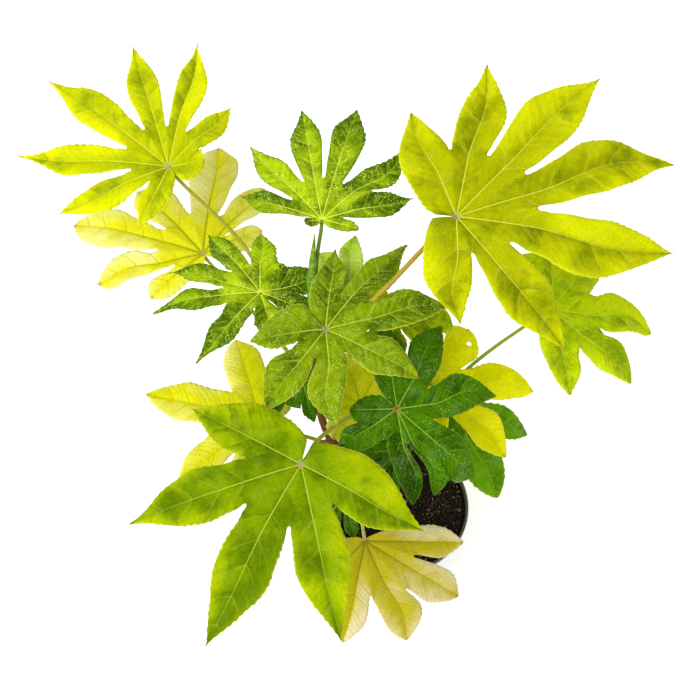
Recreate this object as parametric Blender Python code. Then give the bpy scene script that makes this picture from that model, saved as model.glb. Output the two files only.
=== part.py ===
"""Potted fatsia, a houseplant with two stems in a 13 cm nursery pot. Blender 4.5, metres, +Z up.

The origin is the middle of the pot's flat underside. Tables are in millimetres and degrees.
A leaf is a palmate blade on a stalk of its own. Its frame has the hub, where the stalk meets
the blade, at the origin, +Z on the upper side and +Y along the middle of the leaf; the lobes
are given as angles counter-clockwise from +Y and lengths from the hub.
"""

import math
from collections import namedtuple

import bmesh
import bpy
from mathutils import Matrix, Vector, noise

MM = 0.001
GAP = 0.3  # clearance between neighbouring pieces
WELD = 0.001  # points this close are one
SHARP_ANGLE = 35  # an edge that turns more than this is shaded sharp

# Pot: a thin tapered shell with a stiff band round the rim and holes in its base.
POT_HEIGHT = 100
POT_RIM_RADIUS = 65
POT_BASE_RADIUS = 44
POT_WALL = 1.6
RIM_BAND_HEIGHT = 11
RIM_BAND_PROUD = 1.8
RIM_ROUNDING = 0.8
POT_SEGMENTS = 48
DRAIN_HOLES = 6
DRAIN_HOLE_RADIUS = 4.5
DRAIN_HOLE_SEGMENTS = 12
DRAIN_CIRCLE_RADIUS = 30

# Soil: it fills the pot nearly to the rim, with a lumpy top that rises towards the stems.
SOIL_TOP = 93
SOIL_LUMPS = 2.0
SOIL_LUMP_WIDTH = 12
SOIL_MOUND = 2.5
SOIL_RINGS = 5
SOIL_SEGMENTS = 32

# Blades
BLADE_THICKNESS = 0.6
RISE = 0.10  # slope of a blade near its hub
DROOP = 0.24  # how far a blade bends down towards its tips
FOLD = 0.16  # slope of a lobe's two halves, up from its midrib
SWAY = 0.05  # how far single lobes lift or hang
SWAY_STEP = 2.4  # radians of sway between one lobe and the next
NOTCH = 0.36  # where the notch between two lobes lies, as a share of their length
NOTCH_LIMIT = 0.6  # the farthest out that a notch may lie, as a share of the shorter lobe
NOTCH_SLIT = 0.012  # half-width that a notch keeps open, as a share of the lobe's length
SLIT_RUN = 0.125  # share of a lobe's free edge over which the slit opens
WIDEST_HALF_ANGLE = 25  # beyond this half-angle between lobes, a lobe gets no wider
LOBE_LEAN = 1.25  # over 1, a lobe is widest beyond its middle
EDGE_LEAN = 0.75  # under 1, an outer lobe's free side is widest near the hub
EDGE_FULLNESS = 0.21  # half-width of an outer lobe on its free side, over length times fullness
EDGE_SPREAD = 0.42  # share of the leaf's open angle that each outer lobe may fill
EDGE_HALF_ANGLE = 65  # and the most that it may fill
ARCH_ROUNDING = 0.9  # power of a lobe's arch: under 1, it is rounder than a sine
TIP_TAPER = 0.3  # how much slimmer a lobe's tip is than a plain arch
LOBE_ROWS = (0.0, 0.18, 0.36, 0.50, 0.64, 0.78, 0.90, 1.0)

# Stalks
STALK_BASE_RADIUS = 2.3
STALK_END_RADIUS = 1.5
STALK_END_DEPTH = 2.2  # below the blade's middle at the hub
STALK_CLEARANCE = 1.1  # between a stalk's foot and its stem
STALK_CLIMB = 0.08  # how far out and up a stalk's first bend lies, as a share of its length
STALK_LAST = 0.1  # how far before its end a stalk's last bend lies, as a share of its length
STALK_LEVEL = 0.3  # how far that bend leans out to the blade's open side
STALK_DROP = 0.8  # slope, down from the blade, of that side's direction
STALK_STEPS = 3
STEM_STEPS = 4

# Stems: points up the middle of each, and the radius there.
Stem = namedtuple("Stem", "points radii")
STEMS = {
    "stem_main": Stem(
        [
            (-22, 13, 66), (-26, 16, 92), (-50, 34, 128), (-71, 49, 165),
            (-81, 70, 205), (-84, 86, 250), (-82, 98, 298),
        ],
        [4.6, 4.4, 4.0, 3.8, 3.6, 3.4, 3.0],
    ),
    "stem_side": Stem(
        [(14, 22, 66), (12, 22, 92), (4, 27, 130), (-10, 35, 172), (-20, 42, 212)],
        [4.2, 4.0, 3.7, 3.4, 2.9],
    ),
}

# Leaves: hub, turn about +Z, lift of the far end, roll, lobes, fullness (a lobe's widest half-width
# over its half-width at the notch), colour, then the stem, the height of the stalk's foot on it, and
# points that the stalk passes on its way.
Leaf = namedtuple("Leaf", "hub turn pitch roll lobes full tone stem foot via")
LEAVES = {
    "upper_left": Leaf(
        (-206, 226, 350), 40, 12, -4,
        [(-165, 22), (-80, 80), (-49, 122), (-22, 125), (13, 140), (47, 128), (75, 103), (119, 60)],
        1.45, "lime", "stem_main", 246, [(-143, 177, 296)],
    ),
    "pale_left": Leaf(
        (-189, 205, 235), 35, -6, 0,
        [(-100, 60), (-70, 95), (-37, 136), (5, 115), (35, 143), (70, 103), (100, 66)],
        1.5, "yellow", "stem_main", 218, [],
    ),
    "top": Leaf(
        (-75, 183, 335), 355, 10, -2,
        [(-102, 31), (-70, 81), (-43, 97), (-10, 115), (15, 110), (47, 96), (75, 76), (105, 18)],
        1.55, "green", "stem_main", 288, [],
    ),
    "big_right": Leaf(
        (36, 168, 365), 280, 6, 12,
        [(-100, 90), (-62, 141), (-21, 180), (5, 195), (34, 176), (67, 141), (100, 101)],
        1.6, "lime", "stem_main", 282, [(-30, 107, 338)],
    ),
    "far_right": Leaf(
        (127, 132, 265), 250, -6, -5,
        [(-60, 79), (-23, 95), (14, 99), (58, 86), (95, 60), (128, 62)],
        1.45, "lime", "stem_side", 182, [(62, 95, 232)],
    ),
    "mid_left": Leaf(
        (-128, 129, 305), 68, -4, 8,
        [(-184, 46), (-148, 51), (-65, 71), (-33, 91), (4, 86), (28, 94), (75, 84), (130, 50)],
        1.2, "green", "stem_main", 268, [],
    ),
    "crown": Leaf(
        (-71, 80, 335), 225, 6, 0,
        [(-129, 63), (-79, 82), (-35, 82), (15, 86), (57, 107), (99, 116), (130, 80)],
        1.25, "green", "stem_main", 292, [],
    ),
    "under_crown_right": Leaf(
        (-19, 109, 295), 262, -8, 0,
        [(-110, 35), (-60, 36), (-15, 52), (10, 60), (70, 32), (110, 30)],
        1.6, "green", "stem_main", 258, [],
    ),
    "young": Leaf(
        (-53, 126, 304), 335, 5, 0,
        [(-100, 35), (-45, 44), (18, 59), (55, 49), (100, 28)],
        1.4, "speckled", "stem_main", 276, [],
    ),
    "dark_right": Leaf(
        (-12, 30, 285), 230, -16, 12,
        [(-136, 45), (-102, 60), (-38, 82), (-23, 80), (2, 88), (50, 88), (103, 82), (141, 72)],
        1.5, "dark", "stem_side", 208, [],
    ),
    "low_right": Leaf(
        (39, 71, 195), 232, -18, 0,
        [(-70, 55), (-20, 100), (22, 88), (70, 55)],
        1.6, "dark", "stem_side", 148, [],
    ),
    "yellow_right": Leaf(
        (22, 72, 235), 268, -12, 4,
        [(-80, 50), (-38, 92), (5, 101), (60, 70), (98, 45)],
        1.4, "yellow", "stem_side", 192, [],
    ),
    "yellow_inner": Leaf(
        (-41, 66, 203), 45, -6, 0,
        [(-115, 30), (-70, 45), (-30, 54), (15, 44), (58, 33), (98, 42)],
        1.5, "yellow", "stem_side", 164, [],
    ),
    "yellow_left": Leaf(
        (-131, 44, 215), 72, -4, 8,
        [(-120, 35), (-55, 105), (0, 115), (55, 90), (95, 65)],
        1.5, "yellow", "stem_main", 158, [(-86, 42, 176)],
    ),
    "big_front": Leaf(
        (-91, -20, 290), 151, -4, 3,
        [(-90, 107), (-44, 149), (0, 162), (42, 143), (90, 112)],
        1.5, "lime", "stem_side", 203, [(-62, 29, 252), (-80, 6, 276)],
    ),
    "pale_front": Leaf(
        (-37, -48, 150), 205, -22, 7,
        [(-70, 62), (-35, 98), (0, 102), (35, 105), (65, 92)],
        1.35, "yellow", "stem_main", 112, [(-40, -22, 143)],
    ),
    "soil_side": Leaf(
        (-57, 4, 108), 190, 4, 0,
        [(-75, 25), (-30, 35), (5, 40), (40, 35), (80, 25)],
        1.4, "dark", "stem_main", 96, [],
    ),
    "shade_left": Leaf(
        (-94, 74, 246), 150, -10, 0,
        [(-105, 24), (-65, 30), (-22, 40), (46, 41), (95, 26)],
        1.4, "dark", "stem_main", 196, [],
    ),
    "shade_front": Leaf(
        (-8, 22, 200), 200, -14, 0,
        [(-105, 38), (-62, 52), (-30, 40), (5, 24)],
        1.4, "dark", "stem_side", 140, [],
    ),
}

# The shoot between the top leaves' stalks: a pointed sheath that holds the next leaf.
SHOOT_POINTS = [(-84, 108, 305), (-84, 128, 313), (-83, 146, 322), (-81, 168, 333)]
SHOOT_RADII = [2.0, 3.6, 2.8, 0.5]

COLOURS = {
    "lime": (0.42, 0.50, 0.01),
    "green": (0.13, 0.30, 0.02),
    "dark": (0.03, 0.13, 0.01),
    "yellow": (0.66, 0.62, 0.04),
    "speckled": (0.35, 0.48, 0.14),
    "stalk": (0.35, 0.36, 0.04),
    "bark": (0.16, 0.07, 0.03),
    "pot": (0.015, 0.015, 0.015),
    "soil": (0.02, 0.012, 0.008),
}


def clear_scene():
    """Remove every object, so that only this model is left."""
    for old in list(bpy.data.objects):
        bpy.data.objects.remove(old, do_unlink=True)


def paint(obj, tone, roughness):
    """Give the object a plain Principled material of its own."""
    material = bpy.data.materials.new(obj.name)
    material.use_nodes = True
    shader = material.node_tree.nodes["Principled BSDF"]
    shader.inputs["Base Color"].default_value = (*COLOURS[tone], 1)
    shader.inputs["Roughness"].default_value = roughness
    shader.inputs["Metallic"].default_value = 0
    obj.data.materials.clear()
    obj.data.materials.append(material)


def object_from(bm, name):
    """Turn a bmesh in millimetres into a smooth-shaded object in metres."""
    bmesh.ops.scale(bm, vec=Vector((MM, MM, MM)), verts=bm.verts)
    mesh = bpy.data.meshes.new(name)
    bm.to_mesh(mesh)
    bm.free()
    mesh.shade_smooth()
    mesh.set_sharp_from_angle(angle=math.radians(SHARP_ANGLE))
    obj = bpy.data.objects.new(name, mesh)
    bpy.context.scene.collection.objects.link(obj)
    return obj


def turned(profile, segments):
    """Spin a closed profile of (radius, height) round Z and close it along the axis."""
    bm = bmesh.new()
    verts = [bm.verts.new((radius, 0, height)) for radius, height in profile]
    edges = [bm.edges.new(pair) for pair in zip(verts, verts[1:])]
    bmesh.ops.spin(
        bm, geom=verts + edges, cent=(0, 0, 0), axis=(0, 0, 1), angle=math.tau, steps=segments,
        use_merge=True,
    )
    bmesh.ops.remove_doubles(bm, verts=bm.verts, dist=WELD)
    bmesh.ops.recalc_face_normals(bm, faces=bm.faces)
    return bm


def wall_radius(height):
    """Outer radius of the pot's tapered wall at this height."""
    top = POT_RIM_RADIUS - RIM_BAND_PROUD
    return POT_BASE_RADIUS + (top - POT_BASE_RADIUS) * height / POT_HEIGHT


def cut(obj, cutter):
    """Cut one object out of another and keep the cutter as a hidden helper."""
    cutter.hide_render = True
    cutter.display_type = "WIRE"
    boolean = obj.modifiers.new(cutter.name, "BOOLEAN")
    boolean.operation = "DIFFERENCE"
    boolean.solver = "EXACT"
    boolean.object = cutter


def make_pot():
    band_foot = POT_HEIGHT - RIM_BAND_HEIGHT
    floor = POT_WALL
    profile = [
        (0, 0),
        (POT_BASE_RADIUS - RIM_ROUNDING, 0),
        (wall_radius(RIM_ROUNDING), RIM_ROUNDING),
        (wall_radius(band_foot - RIM_BAND_PROUD), band_foot - RIM_BAND_PROUD),
        (POT_RIM_RADIUS - RIM_ROUNDING, band_foot),
        (POT_RIM_RADIUS, POT_HEIGHT - RIM_ROUNDING),
        (POT_RIM_RADIUS - RIM_ROUNDING, POT_HEIGHT),
        (POT_RIM_RADIUS - POT_WALL, POT_HEIGHT - RIM_ROUNDING),
        (wall_radius(band_foot) - POT_WALL, band_foot),
        (wall_radius(floor) - POT_WALL, floor),
        (0, floor),
    ]
    pot = object_from(turned(profile, POT_SEGMENTS), "pot")
    paint(pot, "pot", 0.5)
    bm = bmesh.new()
    for index in range(DRAIN_HOLES):
        place = Matrix.Rotation(math.tau * index / DRAIN_HOLES, 4, "Z")
        place = place @ Matrix.Translation((DRAIN_CIRCLE_RADIUS, 0, POT_WALL / 2))
        bmesh.ops.create_cone(
            bm, cap_ends=True, segments=DRAIN_HOLE_SEGMENTS, radius1=DRAIN_HOLE_RADIUS,
            radius2=DRAIN_HOLE_RADIUS, depth=4 * POT_WALL, matrix=place,
        )
    cut(pot, object_from(bm, "drain_cutter"))


def make_soil():
    foot = POT_WALL + GAP
    edge = SOIL_TOP - SOIL_LUMPS
    foot_radius = wall_radius(foot) - POT_WALL - 2 * GAP
    edge_radius = wall_radius(edge) - POT_WALL - 2 * GAP
    rings = [edge_radius * (1 - step / SOIL_RINGS) for step in range(SOIL_RINGS + 1)]
    profile = [(0, foot), (foot_radius, foot)] + [(radius, edge) for radius in rings]
    bm = turned(profile, SOIL_SEGMENTS)
    for vert in bm.verts:
        inside = 1 - math.hypot(vert.co.x, vert.co.y) / edge_radius
        if vert.co.z > edge - 1 and inside > 0.5 / SOIL_RINGS:
            vert.co.z += noise.noise(vert.co / SOIL_LUMP_WIDTH) * SOIL_LUMPS + SOIL_MOUND * inside
    soil = object_from(bm, "soil")
    paint(soil, "soil", 0.95)
    for name, stem in STEMS.items():
        wider = [radius + 2 * GAP for radius in stem.radii[:3]]
        deeper = Vector(stem.points[0]) - Vector((0, 0, 2 * GAP))
        cut(soil, mesh_copy(tube(name + "_socket", [deeper, *stem.points[1:3]], wider, 2, STEM_STEPS)))


def tube(name, points, radii, sides_step, steps):
    """A round tapered tube through the points, as a curve with filled caps."""
    curve = bpy.data.curves.new(name, "CURVE")
    curve.dimensions = "3D"
    curve.bevel_depth = MM
    curve.bevel_resolution = sides_step
    curve.resolution_u = steps
    curve.use_fill_caps = True
    spline = curve.splines.new("BEZIER")
    spline.bezier_points.add(len(points) - 1)
    for knot, place, radius in zip(spline.bezier_points, points, radii):
        knot.co = Vector(place) * MM
        knot.radius = radius
        knot.handle_left_type = "AUTO"
        knot.handle_right_type = "AUTO"
    obj = bpy.data.objects.new(name, curve)
    bpy.context.scene.collection.objects.link(obj)
    return obj


def mesh_copy(obj):
    """Replace a curve object by a closed mesh of the same shape."""
    bpy.context.view_layer.update()
    bm = bmesh.new()
    bm.from_mesh(obj.to_mesh())
    obj.to_mesh_clear()
    bmesh.ops.remove_doubles(bm, verts=bm.verts, dist=WELD * MM)
    bmesh.ops.recalc_face_normals(bm, faces=bm.faces)
    mesh = bpy.data.meshes.new(obj.name)
    bm.to_mesh(mesh)
    bm.free()
    closed = bpy.data.objects.new(obj.name + "_mesh", mesh)
    bpy.context.scene.collection.objects.link(closed)
    bpy.data.objects.remove(obj, do_unlink=True)
    return closed


def make_stems():
    for name, stem in STEMS.items():
        paint(tube(name, stem.points, stem.radii, 2, STEM_STEPS), "bark", 0.8)
    paint(tube("shoot_tip", SHOOT_POINTS, SHOOT_RADII, 1, STALK_STEPS), "stalk", 0.5)


def stem_at(stem, height):
    """Middle and radius of a stem at this height, on straight lines between its points."""
    for index in range(len(stem.points) - 1):
        low, high = Vector(stem.points[index]), Vector(stem.points[index + 1])
        if height <= high.z:
            share = (height - low.z) / (high.z - low.z)
            radius = stem.radii[index] + share * (stem.radii[index + 1] - stem.radii[index])
            return low.lerp(high, share), radius
    return Vector(stem.points[-1]), stem.radii[-1]


def leaf_place(leaf):
    """The matrix from a leaf's own frame to the plant's."""
    turn = Matrix.Rotation(math.radians(leaf.turn), 4, "Z")
    pitch = Matrix.Rotation(math.radians(leaf.pitch), 4, "X")
    roll = Matrix.Rotation(math.radians(leaf.roll), 4, "Y")
    return Matrix.Translation(leaf.hub) @ turn @ pitch @ roll


def gap_direction(leaf):
    """Unit vector in the leaf's frame towards the open side, where its stalk comes in."""
    first, last = leaf.lobes[0][0], leaf.lobes[-1][0]
    angle = math.radians((first + 360 + last) / 2)
    return Vector((-math.sin(angle), math.cos(angle), 0))


def lobe_side(leaf, index, step):
    """Half-angle and notch radius of a lobe on one side; radius 0 where that side is free."""
    angle, length = leaf.lobes[index]
    other = index + step
    if not 0 <= other < len(leaf.lobes):
        open_angle = 360 - (leaf.lobes[-1][0] - leaf.lobes[0][0])
        return math.radians(min(EDGE_SPREAD * open_angle, EDGE_HALF_ANGLE)), 0.0
    other_angle, other_length = leaf.lobes[other]
    notch = min(NOTCH * math.sqrt(length * other_length), NOTCH_LIMIT * min(length, other_length))
    return math.radians(abs(other_angle - angle) / 2), notch


def lobe_arch(share, lean):
    """Outline of a lobe's free edge: a sine arch that leans towards the base or the tip."""
    if not 0 < share < 1:
        return 0.0
    return math.sin(math.pi * share**lean) ** ARCH_ROUNDING * (1 - TIP_TAPER * share**3)


def side_point(length, half_angle, notch, full, share):
    """Distance along the midrib and off it, of the lobe's side at this share of its length."""
    if not notch:
        off = EDGE_FULLNESS * full * length * lobe_arch(share, EDGE_LEAN)
        return share * length, min(off, share * length * math.tan(half_angle))
    notch_along, notch_off = notch * math.cos(half_angle), notch * math.sin(half_angle)
    if share <= NOTCH:
        return notch_along * share / NOTCH, notch_off * share / NOTCH
    free = (share - NOTCH) / (1 - NOTCH)
    along = notch_along + free * (length - notch_along)
    widest = full * NOTCH * length * math.sin(min(half_angle, math.radians(WIDEST_HALF_ANGLE)))
    off = notch_off * (1 - free) ** 3 + widest * lobe_arch(free, LOBE_LEAN)
    slit = NOTCH_SLIT * length * min(1.0, free / SLIT_RUN)
    return along, min(off, along * math.tan(half_angle) - slit)


def blade_point(leaf, index, share, across):
    """A point of the blade's middle surface: share along the lobe, across from -1 to 1."""
    angle, length = leaf.lobes[index]
    half_angle, notch = lobe_side(leaf, index, 1 if across > 0 else -1)
    along, off = side_point(length, half_angle, notch, leaf.full, share)
    along = share * length + abs(across) * (along - share * length)
    off = across * off
    radians = math.radians(angle)
    middle = Vector((-math.sin(radians), math.cos(radians), 0))
    left = Vector((-math.cos(radians), -math.sin(radians), 0))
    point = middle * along + left * off
    reach = point.length
    size = max(length for _, length in leaf.lobes)
    beyond = max(0.0, share - NOTCH) / (1 - NOTCH)
    sway = SWAY * length * beyond**2 * math.sin(SWAY_STEP * index + leaf.turn)
    point.z = RISE * reach - DROOP * reach**2 / size + FOLD * abs(off) + sway
    return point


def make_blade(name, leaf):
    """One grid for each lobe, joined along the hub's rays, then thickened."""
    bm = bmesh.new()
    for index in range(len(leaf.lobes)):
        grid = bmesh.ops.create_grid(bm, x_segments=2, y_segments=len(LOBE_ROWS) - 1, size=1)
        for vert in grid["verts"]:
            row = round((vert.co.y + 1) / 2 * (len(LOBE_ROWS) - 1))
            vert.co = blade_point(leaf, index, LOBE_ROWS[row], vert.co.x)
    bmesh.ops.remove_doubles(bm, verts=bm.verts, dist=10 * WELD)
    bmesh.ops.dissolve_degenerate(bm, dist=WELD, edges=bm.edges)
    bmesh.ops.recalc_face_normals(bm, faces=bm.faces)
    bmesh.ops.transform(bm, matrix=leaf_place(leaf), verts=bm.verts)
    blade = object_from(bm, "blade_" + name)
    solidify = blade.modifiers.new("thickness", "SOLIDIFY")
    solidify.thickness = BLADE_THICKNESS * MM
    solidify.offset = 0
    paint(blade, leaf.tone, 0.4)


def make_stalk(name, leaf):
    """From the side of the stem to just under the hub, coming in on the blade's open side."""
    middle, stem_radius = stem_at(STEMS[leaf.stem], leaf.foot)
    place = leaf_place(leaf)
    end = place @ Vector((0, 0, -STALK_END_DEPTH))
    inward = (place.to_3x3() @ (gap_direction(leaf) + Vector((0, 0, -STALK_DROP)))).normalized()
    away = Vector(leaf.via[0] if leaf.via else end) - middle
    away.z = 0
    away.normalize()
    foot = middle + away * (stem_radius + STALK_BASE_RADIUS + STALK_CLEARANCE)
    length = (end - foot).length
    climb = foot + (away + Vector((0, 0, 1))) * STALK_CLIMB * length
    passing = [Vector(point) for point in leaf.via]
    last = passing[-1] if passing else climb
    straight = (last - end).normalized()
    before = end + straight.lerp(inward, STALK_LEVEL) * STALK_LAST * length
    points = [foot, climb, *passing, before, end]
    taper = [step / (len(points) - 1) for step in range(len(points))]
    radii = [STALK_BASE_RADIUS + (STALK_END_RADIUS - STALK_BASE_RADIUS) * step for step in taper]
    paint(tube("stalk_" + name, points, radii, 1, STALK_STEPS), "stalk", 0.5)


def main():
    clear_scene()
    make_pot()
    make_soil()
    make_stems()
    for name, leaf in LEAVES.items():
        make_blade(name, leaf)
        make_stalk(name, leaf)


main()
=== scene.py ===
# %% [markdown]
# # A potted fatsia
#
# Fatsia is a houseplant with large leaves shaped like open hands. This one has two slender woody
# stems, nineteen leaves on long stalks, and a small black nursery pot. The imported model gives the
# frame: plain solids that carry the plant's sizes, collision and mass. This script builds the looks
# round them, one kind of piece at a time, and each new piece stands for the plain solid it replaces.

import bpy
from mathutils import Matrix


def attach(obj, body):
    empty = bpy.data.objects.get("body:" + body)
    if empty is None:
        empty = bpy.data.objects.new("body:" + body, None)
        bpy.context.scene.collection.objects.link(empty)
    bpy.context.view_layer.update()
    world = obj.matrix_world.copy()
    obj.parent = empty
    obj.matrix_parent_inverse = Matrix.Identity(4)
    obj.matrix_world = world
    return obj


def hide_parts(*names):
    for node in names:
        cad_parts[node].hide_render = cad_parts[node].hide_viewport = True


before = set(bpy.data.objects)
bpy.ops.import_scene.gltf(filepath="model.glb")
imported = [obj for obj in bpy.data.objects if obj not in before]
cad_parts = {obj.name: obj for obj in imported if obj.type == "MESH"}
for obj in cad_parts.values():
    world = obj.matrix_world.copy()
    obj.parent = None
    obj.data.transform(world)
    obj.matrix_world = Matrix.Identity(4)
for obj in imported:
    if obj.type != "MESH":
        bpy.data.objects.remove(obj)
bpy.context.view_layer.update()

# %% [markdown]
# Everything below is worked out in millimetres, because leaf and pot sizes read well that way, and
# is scaled to metres once, when a piece is finished.

# %% Imports and units
import math
import random
from collections import namedtuple

import bmesh
import bpy
from mathutils import Matrix, Vector, noise

MM = 0.001

# %% [markdown]
# ## Camera
# A high three-quarter view from the front shows the spread of the leaves and still some depth. The
# lens is a short telephoto, so that the near leaves aren't much larger than the far ones.

# %% Camera
CAMERA_PLACE = (-52.8, -297.1, 1144.4)
CAMERA_ELEVATION = 66
CAMERA_LENS = 56.9

lens = bpy.data.cameras.new("camera")
lens.lens = CAMERA_LENS
camera = bpy.data.objects.new("camera", lens)
camera.location = Vector(CAMERA_PLACE) * MM
camera.rotation_euler = (math.radians(90 - CAMERA_ELEVATION), 0, 0)
bpy.context.scene.collection.objects.link(camera)
bpy.context.scene.camera = camera
print("camera at", camera.location)

# %% [markdown]
# ## Light
# Leaves look best in soft light from all round: a pale sky fills the shadows, and one large lamp
# high on the left gives the blades their modelling and the glossy ones their highlights. The
# Standard view keeps the yellow-greens as bright as they are.

# %% Sky and lamp
SKY_STRENGTH = 0.62
LAMP_POWER = 28
LAMP_SIZE = 1.4
LAMP_PLACE = (-900, -500, 1700)
AIM = (-50, 90, 200)

world = bpy.data.worlds.new("studio")
world.use_nodes = True
world.node_tree.nodes["Background"].inputs["Color"].default_value = (1, 1, 1, 1)
world.node_tree.nodes["Background"].inputs["Strength"].default_value = SKY_STRENGTH
bpy.context.scene.world = world
bpy.context.scene.view_settings.view_transform = "Standard"

softbox = bpy.data.lights.new("softbox", "AREA")
softbox.energy = LAMP_POWER
softbox.size = LAMP_SIZE
lamp = bpy.data.objects.new("softbox", softbox)
lamp.location = Vector(LAMP_PLACE) * MM
lamp.rotation_euler = (Vector(AIM) - Vector(LAMP_PLACE)).to_track_quat("-Z", "Y").to_euler()
bpy.context.scene.collection.objects.link(lamp)
print("lamp at", lamp.location, "and", LAMP_SIZE, "m across")

# %% [markdown]
# ## Colours and nodes
# Colours are written as the hex values that a colour picker shows. Blender works in linear light,
# so one function turns them over. Another adds a shader node, sets it and links it: an input may be
# a number, a colour or another node, whose first output is then used. A pattern is sized by how many
# millimetres across its cells are. Inputs are given by name or by number: a Map Range takes its
# value as 0, the range that it comes from as 1 and 2, and the range that it goes to as 3 and 4,
# which is from 0 to 1 unless set. Most finishes are layers of colour, each laid on as strongly as
# its own mask says, and some masks are weighted sums. Every finish ends by giving the shader its
# colour, roughness and gloss.

# %% Helpers for materials
def linear(hex_colour):
    """A hex sRGB colour as linear RGBA."""
    parts = [int(hex_colour[k:k + 2], 16) / 255 for k in (1, 3, 5)]
    return (*(p / 12.92 if p <= 0.04045 else ((p + 0.055) / 1.055) ** 2.4 for p in parts), 1)


def cells(size):
    """The scale of a pattern on Object coordinates whose cells are this many millimetres across."""
    return 1 / (size * MM)


def new_material(name):
    """An empty material: its node tree and its Principled shader."""
    material = bpy.data.materials.new(name)
    material.use_nodes = True
    return material, material.node_tree, material.node_tree.nodes["Principled BSDF"]


def add(tree, kind, inputs=(), **settings):
    """Add a node of this kind, with its properties set and its inputs set or linked."""
    node = tree.nodes.new("ShaderNode" + kind)
    for name, value in settings.items():
        setattr(node, name, value)
    for key, value in dict(inputs).items():
        if isinstance(value, bpy.types.Node):
            value = value.outputs[0]
        if isinstance(value, bpy.types.NodeSocket):
            tree.links.new(value, node.inputs[key])
        else:
            node.inputs[key].default_value = value
    return node


def read(tree, name):
    """The three numbers that each vertex keeps under this name."""
    kept = add(tree, "Attribute", attribute_name=name)
    return add(tree, "SeparateXYZ", {0: kept.outputs["Vector"]}).outputs


def lay(tree, colour, *layers):
    """Lay hex colours over this one in turn, each as strongly as the mask before it says."""
    for mask, hex_colour in layers:
        colour = add(tree, "MixRGB", {0: mask, 1: colour, 2: linear(hex_colour)})
    return colour


def weigh(tree, total, *parts):
    """Add to this total each value times its weight."""
    for value, weight in parts:
        total = add(tree, "Math", {0: value, 1: weight, 2: total}, operation="MULTIPLY_ADD")
    return total


def dress(shader, colour, roughness, gloss, bump=None):
    """Give the shader its colour, and the values that are the same all over."""
    tree = shader.id_data
    tree.links.new(colour.outputs[0], shader.inputs["Base Color"])
    if bump:
        tree.links.new(bump.outputs[0], shader.inputs["Normal"])
    shader.inputs["Roughness"].default_value = roughness
    shader.inputs["Specular IOR Level"].default_value = gloss


print("white:", linear("#FFFFFF"), "scale of a 5 mm pattern:", cells(5))

# %% [markdown]
# ## Finishing a piece
# Every shape is modelled as a bmesh and then becomes a shown object. A piece of the plant is also
# scaled to metres, shaded smooth, rides on the frame's one body and stands for the plain solids that
# it replaces.

# %% Helpers for finished pieces
def show(bm, name, materials):
    """Turn a bmesh into a shown object with these materials."""
    mesh = bpy.data.meshes.new(name)
    bm.to_mesh(mesh)
    bm.free()
    for material in materials:
        mesh.materials.append(material)
    shown = bpy.data.objects.new(name, mesh)
    bpy.context.scene.collection.objects.link(shown)
    return shown


def finish_piece(bm, name, materials, slot, *nodes, sharp=None):
    """Turn a bmesh in millimetres into a shown piece that replaces these solids."""
    bmesh.ops.scale(bm, vec=Vector((MM, MM, MM)), verts=bm.verts)
    piece = show(bm, name, materials)
    piece.data.shade_smooth()
    if sharp:
        piece.data.set_sharp_from_angle(angle=math.radians(sharp))
    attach(piece, "root")
    if nodes:
        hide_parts(*nodes)
    print(name, len(piece.data.polygons), "faces")
    return piece


# %% [markdown]
# ## Floor
# A plain pale floor, wide enough to fill every view from above.

# %% Floor
FLOOR_GLOW = 0.5
FLOOR_HALF_WIDTH = 4  # metres

material, tree, shader = new_material("matt white paint")  # even and bright, with soft shadows
shader.inputs["Base Color"].default_value = linear("#FBFBFA")
shader.inputs["Roughness"].default_value = 0.9
shader.inputs["Emission Color"].default_value = (1, 1, 1, 1)  # lifts the floor to a plain white
shader.inputs["Emission Strength"].default_value = FLOOR_GLOW
bm = bmesh.new()
bmesh.ops.create_grid(bm, x_segments=1, y_segments=1, size=FLOOR_HALF_WIDTH)
floor = show(bm, "floor", [material])
print("floor:", 2 * FLOOR_HALF_WIDTH, "m across")

# %% [markdown]
# ## The plan of the plant
# These tables are the plant's own plan: points up the middle of each stem with the radius there,
# and for each leaf where its hub is, how it is turned, and its lobes.
# - A lobe has an angle from the leaf's middle and a length from the hub. Where they differ from the
#   leaf's usual, it also has half its width as a share of the length, how far out the notch after
#   it lies, how much lighter or darker it is, how high its tip is lifted, and how far it bows.
# - Slim is half the width of the leaf's longest lobe, as a share of its length. Ears are how much
#   wider the first and last lobes are on their free sides, by the stalk. Blunt runs from 0 for
#   drawn-out tips to 1 for rounded ones.
# - Slot is the blade's material slot in the frame. The stalk rises from this stem, with its foot at
#   this height, and passes these points, if any.

# %% Stems and leaves
Stem = namedtuple("Stem", "points radii")
STEMS = {
    "stem_main": Stem(
        [
            (-22, 13, 66), (-26, 16, 92), (-50, 34, 128), (-71, 49, 165),
            (-81, 70, 205), (-84, 86, 250), (-82, 98, 298),
        ],
        [4.6, 4.4, 4.0, 3.8, 3.6, 3.4, 3.0],
    ),
    "stem_side": Stem(
        [(14, 22, 66), (12, 22, 92), (4, 27, 130), (-10, 35, 172), (-20, 42, 212)],
        [4.2, 4.0, 3.7, 3.4, 2.9],
    ),
}

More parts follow.
